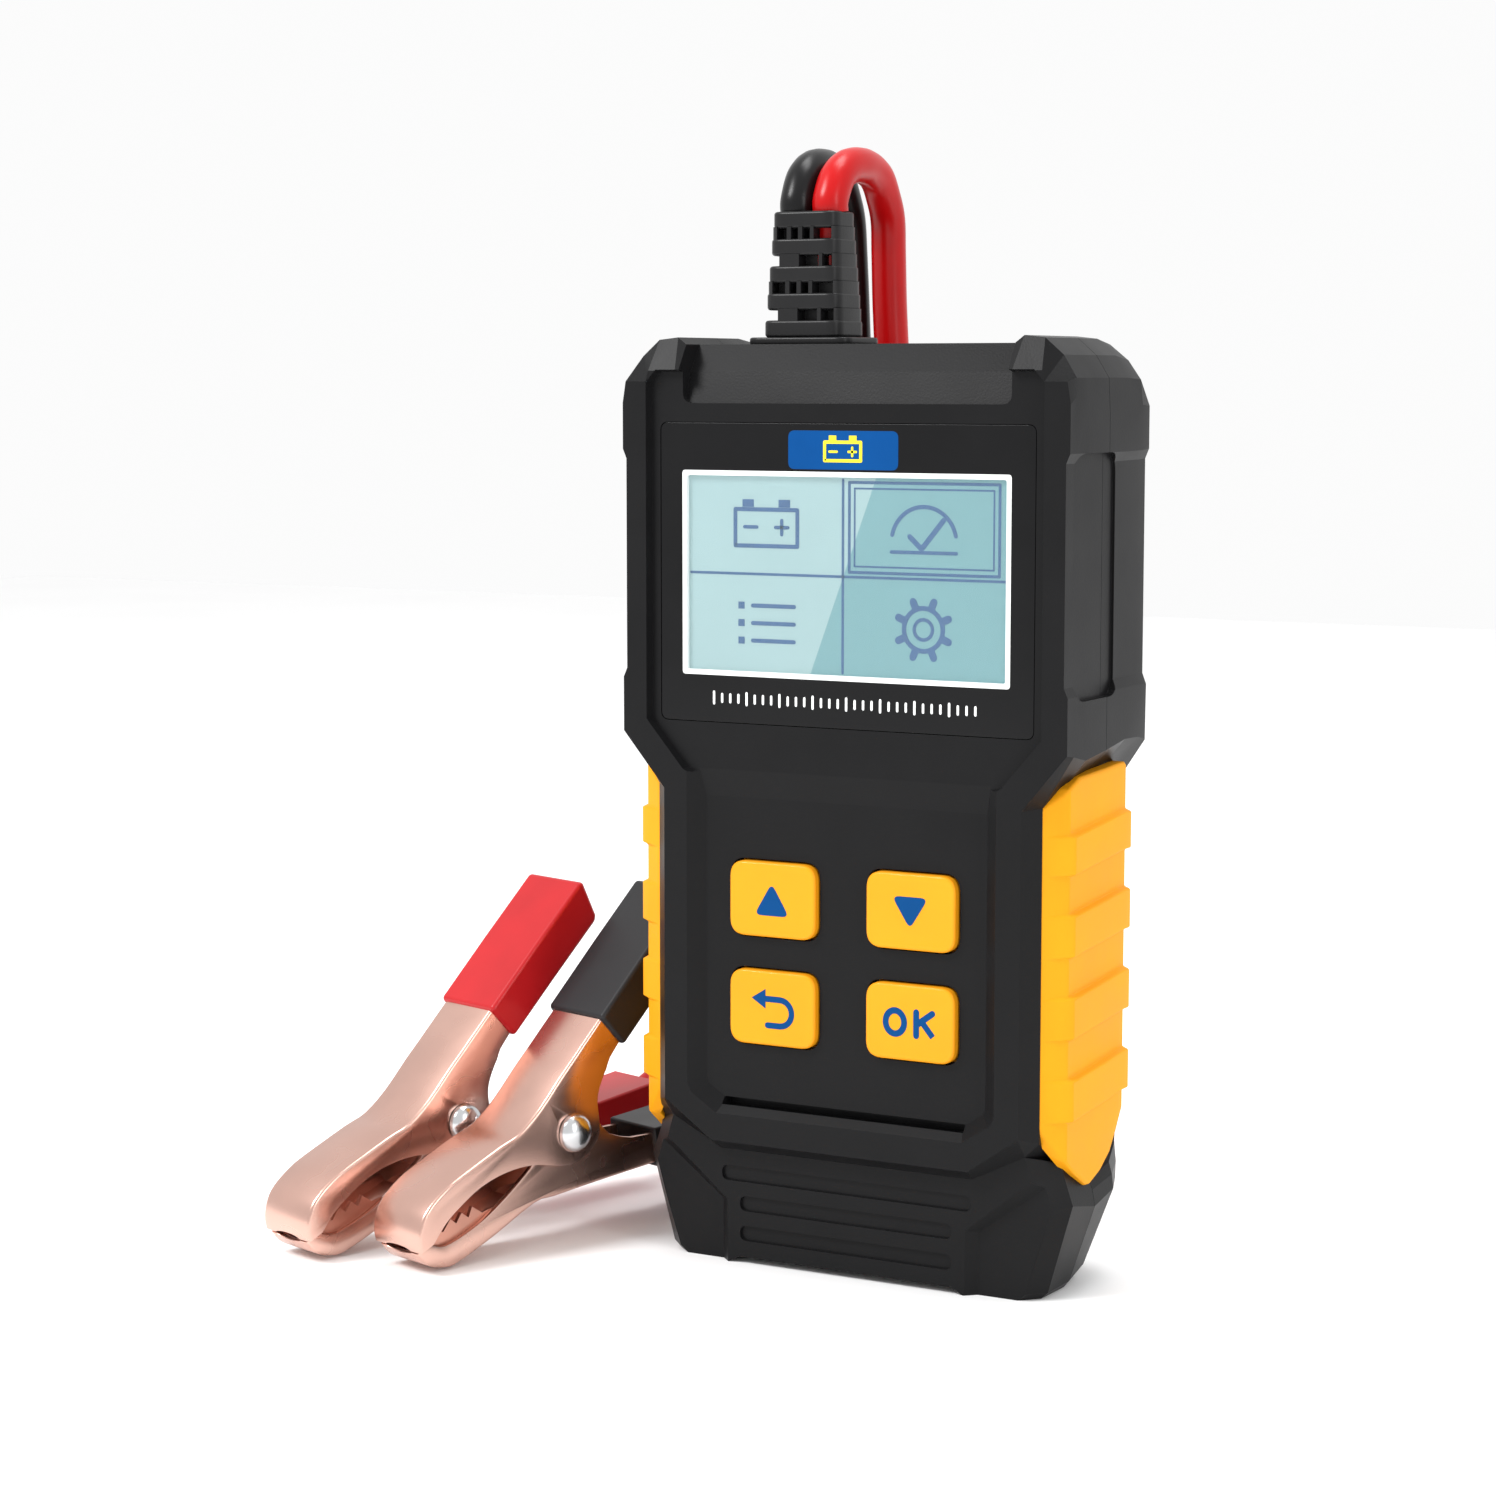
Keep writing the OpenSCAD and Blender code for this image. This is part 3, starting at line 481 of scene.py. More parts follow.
def ring_at(depth, shift=0.0):
    """The whole outline of the case at one of the depths in RINGS."""
    return [(x, FRONT + depth + shift, z) for x, z in mirrored(RINGS[depth])]


def grown(outline, amount):
    """An outline with every side moved outwards; the outline runs clockwise in x and z."""
    count = len(outline)
    result = []
    for i in range(count):
        a, b, c = (Vector(outline[(i + k) % count]) for k in (-1, 0, 1))
        n1 = Vector((-(b - a).y, (b - a).x)).normalized()
        n2 = Vector((-(c - b).y, (c - b).x)).normalized()
        n = (n1 + n2).normalized()
        result.append(tuple(b + n * amount / max(0.3, n.dot(n1))))
    return result


def frustum(half0, d0, half1, d1):
    """A tapering prism between two half outlines, each at its depth."""
    ends = ((half0, d0), (half1, d1))
    return skin(*[[(x, FRONT + d, z) for x, z in mirrored(half)] for half, d in ends])


def rod(x, z, radius, d0, d1, sides=32):
    return front_prism(circle(radius, sides, x, z), d0, d1)


def rounded_box(x0, z0, x1, z1, r, d0, d1, steps=5):
    return front_prism(rounded(box_outline(x0, z0, x1, z1), r, steps), d0, d1)


def cut_all(bm, cutters):
    for cutter in cutters:
        bm = boolean(bm, cutter)
    return bm


def front_cutters():
    """The sunken fields and openings of the front half of the case."""
    panel = mirrored(PANEL_HALF)
    levels = ((-1, 0.65), (PANEL, 0))
    yield skin(*[[(x, FRONT + d, z) for x, z in grown(panel, g)] for d, g in levels])
    yield frustum([(0, 102.3), (30.5, 102.3), (30.5, 31.4), (29.6, 29.7), (24, 26.05),
                   (0, 26.05)], -1,
                  [(0, 82.3), (26.8, 82.3), (26.8, 32.6), (26.3, 31.5), (22.7, 29.3),
                   (0, 29.3)], KEYPAD)
    slope = side_prism([(-1, 149.8), (2.6, 149.8), (4.3, 155.1), (7.5, 159.9), (7.5, 166),
                        (-1, 166)], -NOTCH_X, NOTCH_X)
    yield boolean(slope, rounded_box(-NOTCH_X, 149.8, NOTCH_X, 175, 1.8, -2, 10), "INTERSECT")
    yield frustum([(0, 22.1), (24.6, 22.1), (33.9, 28.6), (36.6, 28.6), (50, 28.6), (50, -5),
                   (0, -5)], 0,
                  [(0, 20.2), (24.2, 20.2), (33.8, 25.1), (36.6, 27.6), (50, 27.6), (50, -5),
                   (0, -5)], CHIN)
    for side in (1, -1):
        rim = [(22.85, -0.2), (23, 11.3), (35, 20.95), (50, 20.95), (50, -6), (22.85, -6)]
        floor = [(24.65, 0.1), (24.7, 10.8), (36.8, 19.9), (50, 19.9), (50, -6), (24.65, -6)]
        ends = ((CHIN, rim), (PAD, floor))
        yield skin(*[[(side * x, FRONT + d, z) for x, z in outline] for d, outline in ends])
    for half, z in CHIN_SLOTS:
        yield rounded_box(-half, z - 1.35, half, z + 1.35, 1.3, CHIN - 1, CHIN + 0.6)
    yield rounded_box(-23.2, 27.9, 23.2, 29.6, 0.3, 1.4, 4.6)    # the slit under the keys
    half, low, high = LENS
    yield rounded_box(-half, low, half, high, 1.5, 0, PANEL + 1.5)
    half, low, high = SCREEN
    yield rounded_box(-half, low, half, high, 0.6, 0, 8)
    for x, z in KEYS.values():
        yield key_box(x, z, 0.35, 3, 0, 8)
    for side in (1, -1):
        yield groove(side)


def key_box(x, z, margin, r, d0, d1, steps=5):
    """A rounded box as large as a key's cap and a margin round it."""
    w, h = KEY_W / 2 + margin, KEY_H / 2 + margin
    return rounded_box(x - w, z - h, x + w, z + h, r, d0, d1, steps)


def groove(side):
    """Cutter of the long finger groove in one side of the screen section."""
    outline = rounded([(3.2, 101.4), (20.3, 101.4), (20.3, 141.9), (3.2, 141.9)], 3.4, 6)
    return side_prism(outline, side * 40.85, side * 44)


# Half outline of the hollow inside the case
ROOM = [(0, 154.5), (34, 154.5), (38.6, 149), (38.6, 95), (31.4, 87), (31.4, 30), (28, 6), (0, 6)]


# How the two halves of the case are finished: every fold, down to shallow ones, gets a soft edge
SHELL = {"slot": "case_plastic", "bevel": 0.3, "segments": 2, "sharp": 24, "crisp": False,
         "crease": 8}


def make_front_shell():
    body = skin(ring_at(0), ring_at(2.8), ring_at(7.4), ring_at(16, -0.04))
    body = cut_all(body, front_cutters())
    body = boolean(body, front_prism(mirrored(ROOM), 5.4, 18))
    piece("front_cover", dissolve_flat(body), "case", stands_for=["front_shell"], **SHELL)
    for i, (x, z) in enumerate(SCREWS):
        boss = boolean(rod(x, z, 3.4, 5, 15.9), rod(x, z, 1.4, 8, 17))
        piece(f"screw_boss_{i}", boss, "case", slot="case_plastic", bevel=0.15)


def make_rear_shell():
    body = skin(ring_at(16, 0.04), ring_at(24), ring_at(30), ring_at(33.5), ring_at(35))
    room = front_prism(mirrored(ROOM), 15, 32.6)
    lean = side_prism([(14, 6.5), (23, 6.5), (29.4, 13), (32.6, 23), (32.6, 148), (29.6, 154),
                       (14, 154)], -60, 60)
    body = boolean(body, boolean(room, lean, "INTERSECT"))
    for side in (1, -1):
        body = boolean(body, groove(side))
    for x, z in SCREWS:
        body = boolean(body, rod(x, z, 3.1, 33.4, 40))
        body = boolean(body, rod(x, z, 1.7, 26, 34))
    piece("rear_cover", dissolve_flat(body), "case", stands_for=["rear_shell"], **SHELL)


# A side grip at rising depths: the depth, how far out its face is, its bottom and its top
GRIP = [
    (2.9, 36.5, 29.7, 83.8), (3.5, 37.5, 28.4, 84.5), (4.1, 38.5, 27, 85.3),
    (4.7, 39.5, 25.6, 86.1), (5.3, 40.4, 24.3, 87), (9.2, 40.6, 21.4, 88.6),
    (12.9, 40.8, 19, 88.8), (14.4, 40.9, 18.9, 88.9), (18, 41.1, 20.3, 89.1),
    (21.5, 41.2, 22.6, 89.3), (24, 41.3, 26, 89.5), (26.7, 41.3, 29.8, 89.5),
]
GRIP_RIBS = [(74.7, 81.3), (61, 68), (47.2, 54.2), (33.3, 40.3)]
RIB_H, RIB_SLANT = 1.1, 2.2      # height of a rib, and how far its front end lies lower


def step_up(z):
    """How far the grip's face is raised at a height: 0 between ribs, RIB_H on them."""
    rise, ramp = 0, 0.6
    for low, high in GRIP_RIBS:
        t = min((z - low + ramp / 2) / ramp, (high + ramp / 2 - z) / ramp)
        t = max(0, min(1, t))
        rise = max(rise, RIB_H * t * t * (3 - 2 * t))
    return rise


def make_grip(side, node):
    """A strip of rubber with four raised ribs, let into the side of the case."""
    heights = sorted({edge + step for rib in GRIP_RIBS for edge in rib
                      for step in (-0.35, -0.15, 0, 0.15, 0.35)})
    outline = []
    for d, x, low, high in GRIP:
        slant = RIB_SLANT * max(0, 24 - d) / 20
        fade = min(1, max(0, (d - 3.4) / 0.8))
        levels = [min(max(h - slant, low + 0.7), high - 0.7) for h in heights]
        levels = [low, low + 0.6] + levels + [high - 0.6, high]
        column = []
        for z in levels:
            out = x + step_up(z + slant) * fade
            if z in (low, high):
                out -= 0.35
            column.append((side * out, FRONT + d, z))
        outline.append(column)
    bm = bmesh.new()
    outer = [[bm.verts.new(p) for p in column] for column in outline]
    back = [35.0] + [x - 2.6 for _, x, _, _ in GRIP[1:]]
    inner = [[bm.verts.new((side * x, y, z)) for _, y, z in column]
             for x, column in zip(back, outline)]
    rows, cols = len(outer), len(outer[0])
    for i in range(rows - 1):
        for k in range(cols - 1):
            bm.faces.new((outer[i][k], outer[i + 1][k], outer[i + 1][k + 1], outer[i][k + 1]))
            bm.faces.new((inner[i][k], inner[i][k + 1], inner[i + 1][k + 1], inner[i + 1][k]))
        for k in (0, cols - 1):
            bm.faces.new((outer[i][k], inner[i][k], inner[i + 1][k], outer[i + 1][k]))
    for i in (0, rows - 1):
        for k in range(cols - 1):
            bm.faces.new((outer[i][k], outer[i][k + 1], inner[i][k + 1], inner[i][k]))
    bmesh.ops.recalc_face_normals(bm, faces=bm.faces)
    piece(node + "_pad", bm, "grip", stands_for=[node], slot="grip_rubber", bevel=0.3, sharp=50)


# ---------------------------------------------------------------- display and its lens

def stroke(points, width, d0, d1, closed=False):
    """Flat strokes through x-z points, with round joints."""
    parts = []
    line = list(points) + ([points[0]] if closed else [])
    for i, (a, b) in enumerate(zip(line, line[1:])):
        a, b = Vector(a), Vector(b)
        side = Vector((-(b - a).y, (b - a).x)).normalized() * width / 2
        lift = 0.004 * (i % 3)
        parts.append(front_prism([tuple(p) for p in (a - side, b - side, b + side, a + side)],
                                 d0 + lift, d1))
    for i, p in enumerate(points):
        parts.append(rod(p[0], p[1], width / 2, d0 + 0.012 + 0.004 * (i % 2), d1, 12))
    return joined(*parts)


def arc(x, z, radius, start, end, count=20):
    """Points along an arc, its angles in degrees."""
    return [(x + radius * math.cos(math.radians(start + (end - start) * i / count)),
             z + radius * math.sin(math.radians(start + (end - start) * i / count)))
            for i in range(count + 1)]


def ring_plate(outer, inner, r_outer, r_inner, d0, d1):
    """A plate between two rounded boxes, each (half width, low, high)."""
    plate = rounded_box(-outer[0], outer[1], outer[0], outer[2], r_outer, d0, d1)
    window = rounded_box(-inner[0], inner[1], inner[0], inner[2], r_inner, d0 - 1, d1 + 1)
    return boolean(plate, window)


LCD_D = PANEL + 0.75     # depth of the lit face of the display


def picture(x, z, kind):
    """A generic pictogram of the display, about 12 mm wide."""
    d0, d1 = LCD_D - 0.06, LCD_D + 0.05
    if kind == "battery":
        parts = [stroke([(x - 6, z - 3.6), (x + 6, z - 3.6), (x + 6, z + 2.6), (x - 6, z + 2.6)],
                        0.7, d0, d1, True),
                 front_prism(box_outline(x - 4.6, z + 3, x - 2.4, z + 4.3), d0, d1),
                 front_prism(box_outline(x + 2.4, z + 3, x + 4.6, z + 4.3), d0, d1),
                 stroke([(x - 4.2, z - 0.4), (x - 1.8, z - 0.4)], 0.6, d0, d1),
                 stroke([(x + 1.8, z - 0.4), (x + 4.2, z - 0.4)], 0.6, d0, d1),
                 stroke([(x + 3, z - 1.6), (x + 3, z + 0.8)], 0.6, d0, d1)]
    elif kind == "check":
        parts = [stroke(arc(x, z - 2.4, 6, 12, 168), 0.7, d0, d1),
                 stroke([(x - 2.6, z - 1.4), (x - 0.4, z - 3.4), (x + 3.6, z + 1.4)], 0.9, d0, d1),
                 stroke([(x - 6, z - 4), (x + 6, z - 4)], 0.6, d0, d1)]
    elif kind == "list":
        parts = []
        for row in (z + 3, z, z - 3):
            dot = box_outline(x - 5.4, row - 0.6, x - 4.2, row + 0.6)
            parts.append(front_prism(dot, d0, d1))
            parts.append(stroke([(x - 2.6, row), (x + 5.4, row)], 0.7, d0, d1))
    else:
        parts = [stroke(arc(x, z, 1.7, 0, 345, 16), 0.6, d0, d1, True),
                 stroke(arc(x, z, 3.6, 0, 345, 24), 0.8, d0, d1, True)]
        for k in range(8):
            a = math.radians(45 * k + 22.5)
            tooth = [(x + r * math.cos(a), z + r * math.sin(a)) for r in (3.8, 5)]
            parts.append(stroke(tooth, 1.3, d0, d1))
    return joined(*parts)


def make_lens():
    """The black border of the lens, its clear pane and the white rim behind it."""
    half, low, high = LENS
    piece("lens_border", ring_plate((half - 0.1, low + 0.1, high - 0.1), (30.9, 103.5, 138.3),
                                    1.4, 0.6, PANEL, PANEL + 1.5),
          "lens", stands_for=["window_lens"], slot="lens_black", bevel=0.12)
    piece("lens_pane", rounded_box(-30.85, 103.55, 30.85, 138.25, 0.6, PANEL + 0.02, PANEL + 0.3),
          "clear", slot="lens_black")
    piece("screen_rim", ring_plate((31.0, 103.3, 138.4), (30.15, 104.15, 137.55), 0.6, 0.4,
                                   PANEL - 0.04, PANEL + 0.9), "white", slot="white_plastic")


def make_display():
    """The display's face in two tints, the paler one a painted glare where light falls across it,
    with its lines and pictograms.
    """
    left, right, bottom, top = -30.3, 30.3, 104, 137.7
    split_top, split_low = 6.0, -6.5
    # the left part is painted glare: a paler tint that stands in for light reflected across the
    # display
    glare_patch = [(left, bottom), (split_low, bottom), (split_top, top), (left, top)]
    plain = [(split_low, bottom), (right, bottom), (right, top), (split_top, top)]
    piece("display_plain", front_prism(plain, LCD_D, LCD_D + 1.4), "lcd", stands_for=["lcd_glass"],
          slot="lcd_panel")
    piece("display_glare", front_prism(glare_patch, LCD_D, LCD_D + 1.4), "lcd_glare", slot="lcd_panel")
    d0, d1 = LCD_D - 0.05, LCD_D + 0.05
    middle = (bottom + top) / 2
    lines = joined(stroke([(-0.3, bottom + 0.6), (-0.3, top - 0.6)], 0.45, d0, d1),
                   stroke([(left + 0.6, middle), (right - 0.6, middle)], 0.45, d0, d1),
                   stroke([(0.9, middle + 0.8), (28.6, middle + 0.8), (28.6, top - 1),
                           (0.9, top - 1)], 0.5, d0, d1, True),
                   stroke([(1.9, middle + 1.8), (27.6, middle + 1.8), (27.6, top - 2),
                           (1.9, top - 2)], 0.3, d0, d1, True))
    piece("display_lines", lines, "ink", slot="lcd_panel")
    for kind, x, up in (("battery", -15, 8.4), ("check", 14.8, 8.4), ("list", -15, -8.4),
                        ("gear", 14.8, -8.4)):
        piece(f"display_{kind}", picture(x, middle + up, kind), "ink", slot="lcd_panel")


def make_badge():
    """A plain badge with a generic pictogram, and a row of scale marks under the display."""
    badge = rounded_box(-10.35, 138.8, 10.35, 145.3, 1.2, PANEL - 0.05, PANEL + 0.2)
    piece("badge", badge, "badge", slot="lens_black", bevel=0.03)
    d0, d1 = PANEL - 0.1, PANEL + 0.1
    mark = joined(stroke(box_outline(-3.4, 140.3, 3.4, 143.4), 0.55, d0, d1, True),
                  front_prism(box_outline(-2.6, 143.6, -1.2, 144.5), d0, d1),
                  front_prism(box_outline(1.2, 143.6, 2.6, 144.5), d0, d1),
                  stroke([(-2.5, 141.8), (-1.1, 141.8)], 0.4, d0, d1),
                  stroke([(1.1, 141.8), (2.5, 141.8)], 0.4, d0, d1),
                  stroke([(1.8, 141.1), (1.8, 142.5)], 0.4, d0, d1))
    piece("badge_mark", mark, "mark", slot="lens_black")
    marks = []
    for i in range(32):
        x = -24.8 + 1.6 * i
        tall = 1.0 if i % 4 == 0 else 0.65
        marks.append(stroke([(x, 99.4 - tall), (x, 99.4 + tall)], 0.42, d0 + 0.05, d1))
    piece("scale_marks", joined(*marks), "white", slot="white_plastic")


# ---------------------------------------------------------------- keys

CAP_D = 1.1    # depth of the keys' faces


def legend(name, x, z):
    """The flat blue symbol on a key."""
    d0, d1 = CAP_D - 0.05, CAP_D + 0.15
    if name == "key_up":
        triangle = [(x - 3.4, z - 2.7), (x + 3.4, z - 2.7), (x, z + 3)]
        return front_prism(rounded(triangle, 0.8), d0, d1)
    if name == "key_down":
        triangle = [(x + 3.4, z + 2.6), (x - 3.4, z + 2.6), (x, z - 2.8)]
        return front_prism(rounded(triangle, 0.8), d0, d1)
    if name == "key_back":
        bend = arc(x + 1.6, z - 0.6, 2.3, 90, -90, 12)
        loop = [(x - 3, z + 1.7), (x + 1.6, z + 1.7)] + bend + [(x - 0.8, z - 2.9)]
        head = front_prism([(x - 3.9, z + 1.7), (x - 1.2, z + 3.4), (x - 1.2, z)], d0 - 0.01, d1)
        return joined(stroke(loop, 1.05, d0, d1), head)
    ring = circle(1.75, 24, x - 2.7, z, 2.0 / 1.75)
    k = x + 1.3
    return joined(stroke(ring, 1.1, d0, d1, True), stroke([(k, z - 2), (k, z + 2)], 1.1, d0, d1),
                  stroke([(k + 3, z + 2), (k, z - 0.2)], 1.1, d0 + 0.02, d1),
                  stroke([(k + 1, z + 0.5), (k + 3.1, z - 2)], 1.1, d0 + 0.04, d1))


def make_keys():
    for name, (x, z) in KEYS.items():
        cap = key_box(x, z, 0, 2.9, CAP_D, 5.8, 8)
        piece(name + "_cap", cap, "key", body=name, stands_for=[name], slot="key_yellow",
              bevel=0.55, segments=4)
        flange = key_box(x, z, 1.2, 2, 5.7, 6.5)
        piece(name + "_flange", joined(flange, rod(x, z, 2, 6.4, 9)), "key", body=name,
              slot="key_yellow", bevel=0.1)
        piece(name + "_legend", legend(name, x, z), "legend", body=name, slot="key_yellow")


# ---------------------------------------------------------------- strain relief

RELIEF = (-13.7, FRONT + 17, 161.0)    # the middle of its lowest band's underside
# Gaps between the relief's bands, each its two ends in x and its depth: one kind is a row of
# slots, and the other is open at the left side
RELIEF_SLOTS = [(-9, -2.9, 3.2), (-2.1, -0.7, 3.2), (0.1, 1.6, 3.2), (2.3, 9, 3.2)]
RELIEF_OPEN = [(-9, -4.2, 20), (-0.4, 3.4, 3.2), (4.1, 9, 3.2)]


def relief_block(w, depth, z0, z1, r=2.5, dx=0.0, dy=0.0):
    """An upright rounded block, about the strain relief's axis or beside it."""
    x, y, _ = RELIEF
    x, y = x + dx, y + dy
    outline = rounded([(x - w / 2, y - depth / 2), (x + w / 2, y - depth / 2),
                       (x + w / 2, y + depth / 2), (x - w / 2, y + depth / 2)], min(r, w / 2.2), 5)
    return skin(*[[(px, py, z) for px, py in outline] for z in (z0, z1)])


def make_relief():
    """Five bands with open gaps between them, so that the leads can bend."""
    # the stretch of the red lead that shows through the gaps
    core = [(LEAD_X["red"], EXIT_Y, z) for z in (171, 176, 182.2)]
    tube("red_lead_core", core, 2.5, "red_lead")
    pitch, band = 4.625, 2.9
    piece("relief_foot", relief_block(19.6, 13.4, 159.7, 161), "relief",
          stands_for=["strain_relief"], slot="relief_rubber", bevel=0.35)
    for i in range(5):
        z = RELIEF[2] + pitch * i
        block = relief_block(14.9 - 0.6 * i, 10.9 - 0.5 * i, z, z + band)
        piece(f"relief_band_{i}", block, "relief", slot="relief_rubber", bevel=0.5, segments=3)
        if i == 4:
            break
        w, depth = 14.6 - 0.6 * i, 10.6 - 0.5 * i
        web = relief_block(w, depth, z + band - 0.3, z + pitch + 0.3)
        for x0, x1, deep in RELIEF_SLOTS if i % 2 else RELIEF_OPEN:
            open_side = deep > 9
            x0, x1 = x0 if open_side else max(x0, 1.5 - w / 2), min(x1, w / 2 - 0.9)
            web = boolean(web, relief_block(x1 - x0, deep, z, z + 6, 0.05, dx=(x0 + x1) / 2,
                                            dy=deep / 2 - depth / 2 - 0.5))
        piece(f"relief_web_{i}", web, "relief", slot="relief_rubber")


# ---------------------------------------------------------------- clamps

# Half width of the upper channel, thickness of its sheet, and the gap to the lower channel, which
# fits between its sides; and how far both handles reach behind the rivet
CHEEK, SHEET, SIDE_GAP, HANDLE_END = 6.75, 1.0, 0.25, 41.0
INNER_CHEEK = CHEEK - SHEET - SIDE_GAP
RIVETS = {"black": (-58.8, -16.0, 20.4), "red": (-80.4, -18.8, 20.4)}
UPPER_BACK = [
    (-37.8, 0.6), (-37.4, 2.2), (-36.4, 4), (-34.6, 5.8), (-32.1, 6.9), (-28.4, 7.6), (-24.9, 7.7),
    (-15.2, 7.3), (-10.5, 6.9), (-4.8, 8.1), (1.6, 10.5), (6, 12), (14.3, 14.9), (HANDLE_END, 24),
]
UPPER_BELLY = [
    (HANDLE_END, 17.4), (16.2, 8.8), (11.5, 6.1), (8.5, 3.8), (6.9, 1.6), (5.7, -1.9), (3.9, -4.4),
    (0, -5.3), (-3.4, -4.7), (-6.6, -2.6), (-9.5, -0.4), (-13.1, 1.5), (-17.5, 2.9), (-22.1, 3.5),
    (-27, 3.1), (-31, 2.3), (-34.8, 0.6),
]
LOWER_BACK = [
    (-37.8, 0.2), (-37.4, -1.6), (-36.4, -3.4), (-34, -5.4), (-31.3, -6.4), (-22.4, -7),
    (-12.4, -7.1), (-8, -8.7), (0.8, -11.9), (13.1, -16.6), (HANDLE_END, -27.2),
]
LOWER_BELLY = [
    (HANDLE_END, -20.6), (15.6, -11.4), (8.6, -6.8), (7, -4.2), (6.2, -1), (5.4, 3), (2.4, 5.4),
    (-2.2, 5.6), (-6, 3.4), (-9.2, -0.2), (-13.4, -1.4), (-17.6, -2.2), (-22.8, -2.8),
    (-27.7, -2.7), (-32.3, -1.9), (-34.8, 0.2),
]
UPPER_SLEEVE = [(14, 15.5), (28, 20.4), (42.6, 25.3), (43, 24.4), (43, 17.6), (42.4, 16.6),
                (29, 12.2), (16.4, 7.9)]
LOWER_SLEEVE = [(14.2, -17.9), (28, -23.2), (42.4, -28.6), (43, -27.9), (43, -20.6),
                (42.4, -19.8), (29, -15.4), (16.4, -10.6)]


def clamp_matrix(colour):
    """The place of a clamp: its own x runs from the nose to the handles, and its z is up."""
    return (Matrix.Translation(RIVETS[colour]) @ Matrix.Rotation(math.radians(72), 4, "Z")
            @ Matrix.Rotation(math.radians(-26), 4, "Y"))


def flat_slab(outline, y0, y1):
    """A prism of a clamp's side outline, in the clamp's own axes."""
    return skin(*[[(x, y, z) for x, z in outline] for y in (y0, y1)])


def finer(outline):
    """An outline eased through its points, for a smooth pressed edge."""
    return [(p[0], p[1]) for p in smooth_path([(x, z, 0) for x, z in outline], 3)]


def channel(back, belly, half, inwards, hole):
    """A pressed channel, its folded edges rounded, with a hole for the rivet."""
    spine, edge = finer(back), finer(belly)
    outer = flat_slab(spine + edge, -half, half)
    outer.verts.ensure_lookup_table()
    count = len(spine) + len(edge)
    folds = []
    for e in outer.edges:
        i, j = (v.index % count for v in e.verts)
        same_side = (e.verts[0].index < count) == (e.verts[1].index < count)
        if same_side and i < len(spine) and j < len(spine) and abs(i - j) == 1:
            folds.append(e)
    bmesh.ops.bevel(outer, geom=folds, offset=0.6, segments=3, profile=0.5, affect="EDGES",
                    clamp_overlap=True)
    room = [(x + (SHEET if i == 0 else SHEET / 2), z + inwards * SHEET)
            for i, (x, z) in enumerate(back[:-1])]
    room += [(HANDLE_END + 2, back[-1][1] + inwards * SHEET * 1.7),
             (HANDLE_END + 2, belly[0][1] + inwards * 3)]
    room += [(x, z + inwards * 3) for x, z in belly[1:]]
    room[-1] = (belly[-1][0] + 0.2, belly[-1][1] + inwards * 3)
    shell = boolean(outer, flat_slab(room, SHEET - half, half - SHEET))
    slit = skin(*[[(x, y, z) for y, z in circle(3.7, 24, 0, 0.4, 0.75 / 3.7)] for x in (-40, -35)])
    return boolean(boolean(shell, flat_slab(circle(hole, 32), -10, 10)), slit)


def on_clamp(colour, name, bm, finish, node, slot, **edges):
    """A piece of a clamp, made in the clamp's own axes."""
    body = f"{colour}_upper_half" if name.startswith("upper") else "root"
    placed(bm, clamp_matrix(colour))
    piece(f"{colour}_{name}", bm, finish, body=body, stands_for=[f"{colour}_{node}"], slot=slot,
          **edges)


def make_sleeve(colour, half_name, outline, half):
    """A soft vinyl sleeve over a handle, rounded all over."""
    on_clamp(colour, f"{half_name}_sleeve", flat_slab(outline, -half, half), f"{colour}_boot",
             f"{half_name}_boot", f"{colour}_boot_vinyl", bevel=1.5, segments=5, sharp=40)


def make_spring(colour):
    """A torsion spring on the rivet: each leg presses one handle outwards."""
    at = clamp_matrix(colour)
    coil_r, wire, per_turn, end = 3.1, 0.6, 20, 2.6
    helix = []
    for i in range(5 * per_turn + 1):
        a = 2 * math.pi * i / per_turn
        y = -end + 2 * end * i / (5 * per_turn)
        helix.append(Vector((coil_r * math.cos(a), y, coil_r * math.sin(a))))
    lower_leg = [Vector((3.4, 2.6, -1.6)), Vector((4.6, 2.7, -4.2)), Vector((8, 2.8, -8.6))]
    coil = tube(f"{colour}_spring_coil", [at @ p for p in helix + lower_leg], wire, "spring")
    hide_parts(f"{colour}_spring")
    upper_leg = [Vector((2.9, -2.7, 1.2)), Vector((5.2, -2.8, 4)), Vector((13, -2.8, 9.6))]
    tube(f"{colour}_spring_leg", [at @ p for p in upper_leg], wire, "spring",
         body=f"{colour}_upper_half")


def make_rivet(colour):
    """A rivet with two domed heads."""
    profile = [(0.05, 2.35), (0.9, 2.28), (1.8, 2.05), (2.6, 1.62), (3.2, 1.0), (3.45, 0.45),
               (3.5, 0)]
    seat = CHEEK + 0.15
    near = [(r, -seat - h) for r, h in profile] + [(2, -seat)]
    sections = near + [(r, -y) for r, y in reversed(near)]
    bm = skin(*[[(x, y, z) for x, z in circle(r, 40)] for r, y in sections])
    on_clamp(colour, "rivet_pin", bm, "steel", "rivet", "screw_steel", crisp=False)


